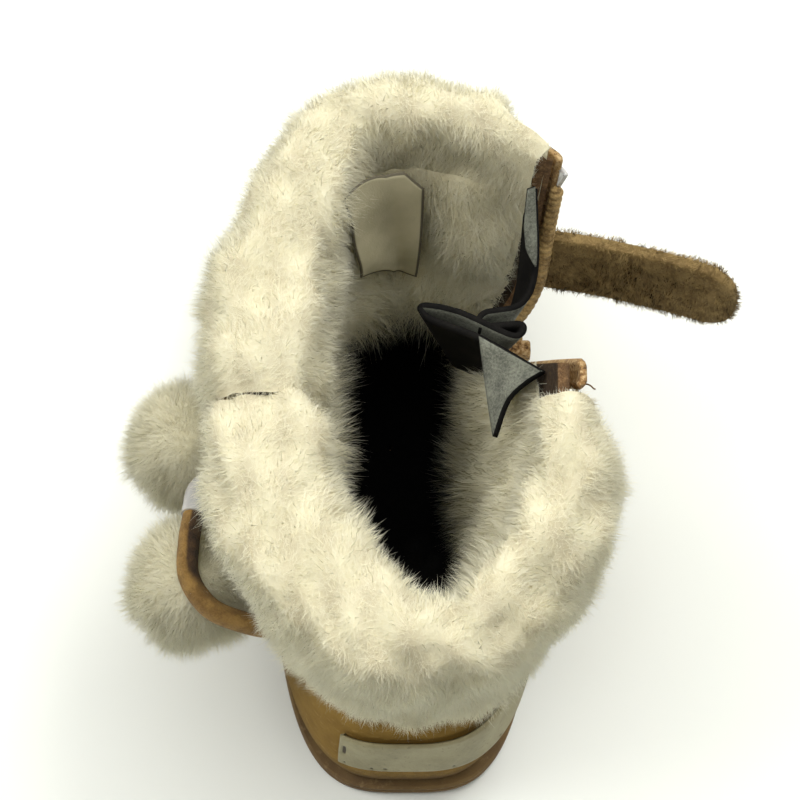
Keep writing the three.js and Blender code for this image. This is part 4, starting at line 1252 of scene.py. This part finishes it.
def tan_suede():
    material, tree, place = start_finish("tan suede")
    nap, speck, patch = place.noise(2600, 4, 0.7), place.noise(1150, 3, 0.7), place.noise(160, 3)
    colour = patch.between(0.3, 0.7).mix((0.26, 0.135, 0.045), (0.46, 0.29, 0.115))
    colour = speck.between(0.5, 0.62).mix(colour, (0.60, 0.43, 0.22))
    colour = (1 - speck.between(0.36, 0.45)).mix(colour, (0.10, 0.05, 0.018))
    relief = nap * 0.6 + speck * 0.5
    return end_finish(material, tree, colour, 0.95 - nap * 0.1, relief, 0.0005, Sheen_Weight=0.04)


TAN_SUEDE = tan_suede()
facing = suede_facing()
recalculate(facing)
dress(facing, "facing_leather", "slit_facing", TAN_SUEDE)

# %% Piping
PIPING = dict(radius=1.4, pitch=1.7, start=0.60, end=0.95, out=1.6, beside=-1.0)


def piping():
    line_t = np.linspace(PIPING["start"], PIPING["end"], 300)
    line = on_side(*slit_line(line_t, PIPING["beside"]), PIPING["out"])
    ahead = unit(np.gradient(line, axis=0))
    side = unit(np.cross(ahead, (1.0, 0, 0)))
    over = np.cross(side, ahead)
    run = run_of(line)
    turn = np.linspace(0, 2 * math.pi, 25)
    rib = np.abs(np.sin(math.pi * (run[:, None] / PIPING["pitch"] + turn[None, :] / (2 * math.pi)))) ** 0.6
    fade = np.sqrt(np.clip(np.minimum(run, run[-1] - run) / 1.2, 0.02, 1))[:, None]
    radius = PIPING["radius"] * fade * (0.68 + 0.32 * rib)
    grid = line[:, None] + (side[:, None] * np.cos(turn)[None, :, None]
                            + over[:, None] * np.sin(turn)[None, :, None]) * radius[..., None]
    piece = surface_piece("whip_piping", 300, 24, by_grid(grid), closed=True)
    recalculate(piece)
    return piece


def waxed_thread():
    material, tree, place = start_finish("waxed thread")
    fibre, patch = place.noise(2200, 4, 0.7), place.noise(300, 3)
    blend = (fibre * 0.5 + patch * 0.5).between(0.35, 0.66)
    colour = blend.mix((0.16, 0.095, 0.030), (0.50, 0.34, 0.135))
    return end_finish(material, tree, colour, 0.7 + fibre * 0.15, fibre, 0.0003)


THREAD = waxed_thread()
dress(piping(), "facing_leather", None, THREAD)

# %% [markdown]
# ## Gusset
# Behind the slit sits a gusset, a folded wedge of cloth that opens like a bellows and keeps snow out. One
# face is smooth and black, the other grey felt. All its folds meet at the slit's foot, so it is drawn as
# straight lines from that foot to a top edge that runs in and out. Its rear corner is turned down over the
# last fold and its edge along the flap is turned in, so both show the felt. Solidify makes the cloth's two
# faces, and each has its own finish.

# %% Gusset
GUSSET_FOOT, GUSSET_THICKNESS = np.array([13.0, 43, 47]), 1.2
GUSSET_FOLDS = np.array([  # the top edge's points and the height of the low edge under each
    (25, 58.6, 97.5, 91), (25.4, 47, 87, 74), (22.6, 41.4, 83, 66), (15.5, 40.5, 81, 58), (15, 37.6, 81, 57),
    (22.6, 37.4, 82, 57), (21, 34.8, 82, 57), (10.5, 39.5, 83, 57), (3.4, 41, 83, 58), (4.6, 38.2, 83, 58),
    (14.4, 32.6, 85, 58), (26, 22, 90, 64),
])
CORNER_CREASE = [(14.4, 32.6, 85.7), (26, 22, 90.6)]  # where the corner is turned down, and its free edge
CORNER_EDGE = [(26, 22, 90.6), (22.8, 20.6, 89), (19.6, 18.2, 86.8), (16.9, 12.1, 83)]
HEM = np.array([-2.5, -0.7, -0.5])  # how far the edge along the flap is turned in


def gusset_grid():
    top = finer(GUSSET_FOLDS[None, :, :3], 12)[0]
    low = np.interp(np.linspace(0, 1, len(top)), np.linspace(0, 1, len(GUSSET_FOLDS)), GUSSET_FOLDS[:, 3])
    start = ((low - GUSSET_FOOT[2]) / (top[:, 2] - GUSSET_FOOT[2]))[:, None, None]
    up = start + (1 - start) * np.linspace(0, 1, 30)[None, :, None]
    return GUSSET_FOOT + (top[:, None] - GUSSET_FOOT) * up


def corner_grid():
    crease = np.linspace(CORNER_CREASE[1], CORNER_CREASE[0], 25)
    edge = through(CORNER_EDGE, 8)
    v = np.linspace(0, 1, 12)[None, :, None]
    sag = np.sin(math.pi * v) * np.linspace(0, 1.4, 25)[:, None, None]
    return crease[:, None] * (1 - v) + edge[:, None] * v - UP * sag


def hem_grid():
    crease = gusset_grid()[12::-1, -1] + 0.8 * UP
    wide = np.interp(np.linspace(0, 1, 13), (0, 0.3, 0.6, 1), (0.1, 0.9, 1, 0.6))[:, None, None]
    return crease[:, None] + np.linspace(0, 1, 6)[None, :, None] * wide * HEM


sheet_grid = gusset_grid()
deepest = np.linalg.norm(sheet_grid[:, -1] - sheet_grid[:, 0], axis=1).max()


# %% The gusset's two faces
def area_of(piece):
    return sum(face.area for face in piece.data.polygons)


def gusset_cloth(name, smooth_face):
    material, tree, place = start_finish(name)
    fibre, patch = place.noise(2000, 5, 0.75), place.noise(240, 3)
    if smooth_face:
        blend = (fibre * 0.5 + patch * 0.5).between(0.35, 0.7)
        colour = blend.mix((0.003, 0.003, 0.003), (0.010, 0.009, 0.008))
        return end_finish(material, tree, colour, 0.8 + fibre * 0.15, fibre, 0.00012, Specular_IOR_Level=0.1)
    blend = (fibre * 0.65 + patch * 0.35).between(0.34, 0.66)
    colour = blend.mix((0.060, 0.064, 0.050), (0.23, 0.24, 0.19))
    return end_finish(material, tree, colour, 0.96 - patch * 0.05, fibre, 0.0005, Sheen_Weight=0.08)


gusset = surface_piece("bellows_gusset", len(sheet_grid) - 1, 14, by_grid(sheet_grid))
corner = surface_piece("gusset_corner", 24, 11, by_grid(corner_grid()))
hem = surface_piece("gusset_hem", 12, 5, by_grid(hem_grid()))
GUSSET_AREA = area_of(gusset) + area_of(corner) + area_of(hem)
BLACK, FELT = gusset_cloth("black cloth", True), gusset_cloth("grey felt", False)
SHEETS = [(gusset, (BLACK, FELT), 0), (corner, (FELT, BLACK), 1), (hem, (FELT, BLACK), 1)]  # the rim is black
for cloth, finishes, rim in SHEETS:
    for material in finishes:
        cloth.data.materials.append(material)
    apply_modifier(cloth, "SOLIDIFY", thickness=GUSSET_THICKNESS * MM, offset=0, material_offset=1,
                   material_offset_rim=rim)
gusset = join([gusset, corner, hem], "bellows_gusset")
dress(gusset, "gusset_cloth", "gusset")
print("gusset:", round(GUSSET_AREA * 1e6), "square mm of cloth")

# %% [markdown]
# ## Strap
# A short strap of loop pile stands off from the flap, on edge, with a round tip. It presses on to hooks on
# the other side. A rounded section runs along its line, and thousands of tiny loops, here as hooked hairs,
# make its face fuzzy. A line of stitches near the top edge shows as a paler, flattened track, and the top
# edge is painted paler as painted light.

# %% Strap
STRAP = dict(width=19, thickness=4, tip=8, hairs=19000, track=6.6)
STRAP_ROUTE = [(22, 59.6, 71), (29, 58.8, 71), (38, 57.2, 71), (48, 55, 70.4), (58, 52.6, 69.4), (67, 50, 68)]


def strap_grid():
    line = through(STRAP_ROUTE, 16)
    line = line[clear_of_leather(line) > FACING["lift"] + FACING["thickness"] + 2 * GAP]
    run = run_of(line)
    tip = run[-1] - STRAP["tip"] * np.cos(np.linspace(0, math.pi / 2, 16))
    fine = np.concatenate([np.linspace(0, tip[0], 50)[:-1], tip])
    line = np.column_stack([np.interp(fine, run, line[:, k]) for k in range(3)])
    cut = np.maximum(0, STRAP["tip"] - (run[-1] - fine))
    half = STRAP["width"] / 2 - STRAP["tip"] + np.sqrt(np.maximum(0, STRAP["tip"] ** 2 - cut**2))
    ahead = unit(np.gradient(line, axis=0))
    side = unit(np.cross(ahead, UP))
    turn = np.linspace(0, 2 * math.pi, 49)
    wave, rise = np.cos(turn), np.sin(turn)
    wave = np.sign(wave) * np.abs(wave) ** 0.35
    rise = np.sign(rise) * np.abs(rise) ** 0.6
    grid = line[:, None] + UP * (half[:, None] * rise)[..., None]
    thick = STRAP["thickness"] / 2 * (1 - 0.35 * (cut / STRAP["tip"]) ** 6) * 0.86
    return grid + side[:, None] * (thick[:, None] * wave)[..., None]


def loop_pile():
    material, tree, place = start_finish("loop pile")
    tone, tip = on_map(tree, HAIR_MAP)
    patch = place.noise(420, 4, 0.65)
    dark = tip.ramp((0.0, (0.045, 0.024, 0.006)), (1.0, (0.16, 0.095, 0.024)))
    pale = tip.ramp((0.0, (0.20, 0.125, 0.035)), (1.0, (0.58, 0.42, 0.17)))
    colour = (tone * 0.7 + patch * 0.3).mix(dark, pale)
    return end_finish(material, tree, colour, 0.9 - tone * 0.1, patch, 0.0004)


def strap(seed):
    rng = np.random.default_rng(seed)
    grid = strap_grid()
    base = surface_piece("strap_body", 90, 48, by_grid(grid), closed=True)
    bpy.ops.object.mode_set(mode="EDIT")
    bpy.ops.mesh.select_all(action="DESELECT")
    bpy.ops.mesh.select_non_manifold(extend=False)
    bpy.ops.mesh.fill_holes(sides=0)
    bpy.ops.object.mode_set(mode="OBJECT")
    recalculate(base)
    map_base(base, 0.0, 0.35)
    i, j = scatter(grid, STRAP["hairs"], rng)
    normal, across, _ = directions(grid)
    middle = grid.mean(axis=1, keepdims=True)
    normal = normal * np.sign((normal * (grid - middle)).sum(-1, keepdims=True))
    root, n = lattice(grid, i, j), unit(lattice(normal, i, j))
    height = lattice(grid - middle, i, j)[:, 2]
    track = np.exp(-(((height - STRAP["track"]) / 0.9) ** 2))
    flow = unit(drift(root, rng, 9) + lattice(across, i, j) * 0.4 + rng.normal(size=root.shape) * 0.8)
    length = (1.1 + 0.9 * rng.random(len(root))) * (1 - 0.6 * track)
    knee, tip, lock = comb(root, n, flow, length, rng, 0.4, wild=0.5, hairs=16, hold=0.45)
    tone = 0.40 + 0.22 * rng.normal(size=lock.max() + 1)[lock] + 0.12 * rng.normal(size=len(root))
    # Paler on the stitch track, and paler on the top edge as painted light.
    tone = tone + 0.35 * track + 0.3 * smooth((height - 8.4) / 1.5)
    hairs = hair_piece("strap_hairs", root, knee, tip, n, 0.12, tone, rng)
    return join([base, hairs], "loop_strap")


dress(strap(41), "loop_pile", "closure_strap", loop_pile())

# %% [markdown]
# ## Corner guards
# Each corner of the slit has a clear plastic guard over its raw suede. It is a small pad on the last's own
# surface, like the facing under it.

# %% Corner guards
GUARDS = {"corner_guard_front": ((59.9, 63.3), (93, 99)), "corner_guard_rear": ((17.8, 21.2), (89, 95))}
GUARD_LIFT, GUARD_THICKNESS = 2.2, 1.0


def guard(name, along, up):
    def place(u, v):
        edge = np.minimum(np.minimum(u, 1 - u), np.minimum(v, 1 - v)) * 5
        out = GUARD_LIFT + GUARD_THICKNESS - round_off(edge, 0.45)
        return on_side(along[0] + (along[1] - along[0]) * u, up[0] + (up[1] - up[0]) * v, out)

    piece = surface_piece(name.replace("corner_", "") + "_pad", 16, 20, place)
    apply_modifier(piece, "SOLIDIFY", thickness=(GUARD_THICKNESS - 0.05) * MM, offset=-1)
    recalculate(piece)
    return piece


def clear_plastic():
    material, tree, place = start_finish("clear plastic")
    cloud = place.noise(500, 3)
    colour = cloud.between(0.3, 0.7).mix((0.88, 0.91, 0.92), (0.97, 0.97, 0.97))
    return end_finish(material, tree, colour, 0.1 + cloud * 0.1, cloud, 0.00005,
                      Transmission_Weight=0.55, IOR=1.45)


CLEAR = clear_plastic()
for name, (along, up) in GUARDS.items():
    dress(guard(name, along, up), "clear_tip", name, CLEAR)

# %% [markdown]
# ## Label
# A small satin label is sewn to the wool of the front wall, inside. It is left plain here, with only its thin
# dark border and the corner that is cut off. A patch of the last's own surface lies in front of the wool,
# with slow waves in it, because nothing holds it but its edges.

# %% Label
LABEL_CUT, LABEL_BORDER = 0.2, (0.0, 0.016)  # shares of the label's width


def label_place(u, v):
    v = v * (1 - 0.55 * np.maximum(0, u - (1 - LABEL_CUT)))
    angle = np.radians(LABEL["start"] + (LABEL["end"] - LABEL["start"]) * u)
    low, high = (np.interp(u, (0, 0.5, 1), LABEL[side]) for side in ("low", "high"))
    share = low + (high - low) * v
    wave = 0.35 * np.sin(7 * u + 3 * v) + 0.25 * np.sin(11 * v - 2 * u)
    return on_upper(share, angle, -(WALL + LABEL["above_wall"] + wave))


def satin():
    material, tree, place = start_finish("label satin")
    across, up = on_map(tree, "UVMap")
    edge = across
    for other in (1 - across, up * 1.1, (1 - up) * 1.1):
        edge = tree.sum("MINIMUM", edge, other)
    low, high = LABEL_BORDER
    border = edge.between(low - 0.006, low) * (1 - edge.between(high, high + 0.01))
    thread, cloud = place.noise(3000, 2), place.noise(130, 3)
    pale = cloud.between(0.3, 0.7).mix((0.36, 0.33, 0.21), (0.46, 0.42, 0.28))
    colour = (border * 0.85).mix(pale, (0.03, 0.022, 0.012))
    return end_finish(material, tree, colour, 0.6 + cloud * 0.2, thread, 0.00008)


label = surface_piece("plain_label", 24, 24, label_place)
run, middle = np.linspace(0, 1, 60), np.full(60, 0.5)
width, height = (float(run_of(label_place(*line))[-1]) for line in ((run, middle), (middle, run)))
apply_modifier(label, "SOLIDIFY", thickness=0.25 * MM, offset=0)
dress(label, "pale_strip", None, satin())
print("label:", round(width, 1), "by", round(height, 1), "mm")

# %% [markdown]
# ## Loose ends
# A small leather tab closes the slit's foot: a block with rounded edges. A clear sleeve grips the lace where
# it goes in under the front pompom, and one loose thread hangs from the rear corner.

# %% Loose ends
def block(name, low, high, rounding):
    """A box between two corners, with rounded edges."""
    bpy.ops.object.select_all(action="DESELECT")
    bpy.ops.mesh.primitive_cube_add(size=1, location=(0, 0, 0))
    piece = new_piece(name)
    low, high = np.array(low, float), np.array(high, float)
    corners = (low + high) / 2 + points_of(piece) * MM * (high - low)
    piece.data.vertices.foreach_set("co", (corners * MM).ravel())
    apply_modifier(piece, "BEVEL", width=rounding * MM, segments=4, limit_method="NONE")
    bpy.ops.object.shade_smooth_by_angle(angle=math.radians(40))
    return piece


tab = block("foot_tab", (21.5, 49.8, 44), (26.4, 53.2, 48), 0.7)
dress(tab, "facing_leather", None, TAN_SUEDE)
sleeve = tube("clear_sleeve", lace_line[-30:-10], LACE_DIAMETER + 0.8, sides=8)
dress(sleeve, "clear_tip", None, CLEAR)
THREAD_LINE = through([(33.2, 17.9, 93.6), (34.2, 17.2, 94.4), (35, 16.9, 93.6), (35.4, 17.4, 92.4)], 6)
thread = tube("loose_thread", THREAD_LINE, 0.3)
dress(thread, "facing_leather", None, RAW_EDGE)

# %% [markdown]
# ## Floor and light
# The photograph is bright: a white table under one very large soft light overhead, so that the pale fur
# almost melts into the background, and all that faces down or sideways is in soft shade. Two weaker lamps,
# on the left and behind on the right, model the lumps of the wool, and a faint sky lifts the deepest folds.

# %% Floor and light
def pale_floor():
    material, tree, place = start_finish("pale floor")
    patch = place.noise(3, 2)
    return end_finish(material, tree, patch.mix((0.80, 0.83, 0.79), (0.86, 0.88, 0.85)), 0.7 + patch * 0.1)


bpy.ops.object.select_all(action="DESELECT")
bpy.ops.mesh.primitive_plane_add(size=6, location=(0, 0, -0.0002))
floor = new_piece("floor")
floor.data.materials.append(pale_floor())


def lamp(name, place, aim, size, watts, colour):
    bpy.ops.object.light_add(type="AREA", location=place)
    light = new_piece(name)
    light.data.shape, light.data.size, light.data.energy, light.data.color = "DISK", size, watts, colour
    way = np.array(aim) - np.array(place)
    tilt, turn = math.acos(-way[2] / np.linalg.norm(way)), math.atan2(way[1], way[0]) - math.pi / 2
    light.rotation_euler = (tilt, 0, turn)
    return light


AIM, WARM_WHITE = (0, 0.03, 0.06), (1, 0.99, 0.95)
LAMPS = {"soft_lamp": ((0, 0.1, 1.2), 2.0, 20.5), "left_lamp": ((-0.9, 0.0, 1.1), 0.8, 8.5),
         "back_lamp": ((0.6, 0.6, 1.15), 0.8, 11)}  # place, size and watts
for name, (place, size, watts) in LAMPS.items():
    lamp(name, place, AIM, size, watts, WARM_WHITE)
world = bpy.data.worlds.new("pale sky")
bpy.context.scene.world = world
world.use_nodes = True
world.node_tree.nodes["Background"].inputs["Color"].default_value = (0.96, 1, 0.97, 1)
world.node_tree.nodes["Background"].inputs["Strength"].default_value = 0.02
bpy.context.scene.view_settings.view_transform = "Standard"
bpy.context.scene.cycles.diffuse_bounces = 6
print("light: three lamps and a faint sky")

# %% [markdown]
# ## Check the size
# The fur may stand a little proud of the solids.
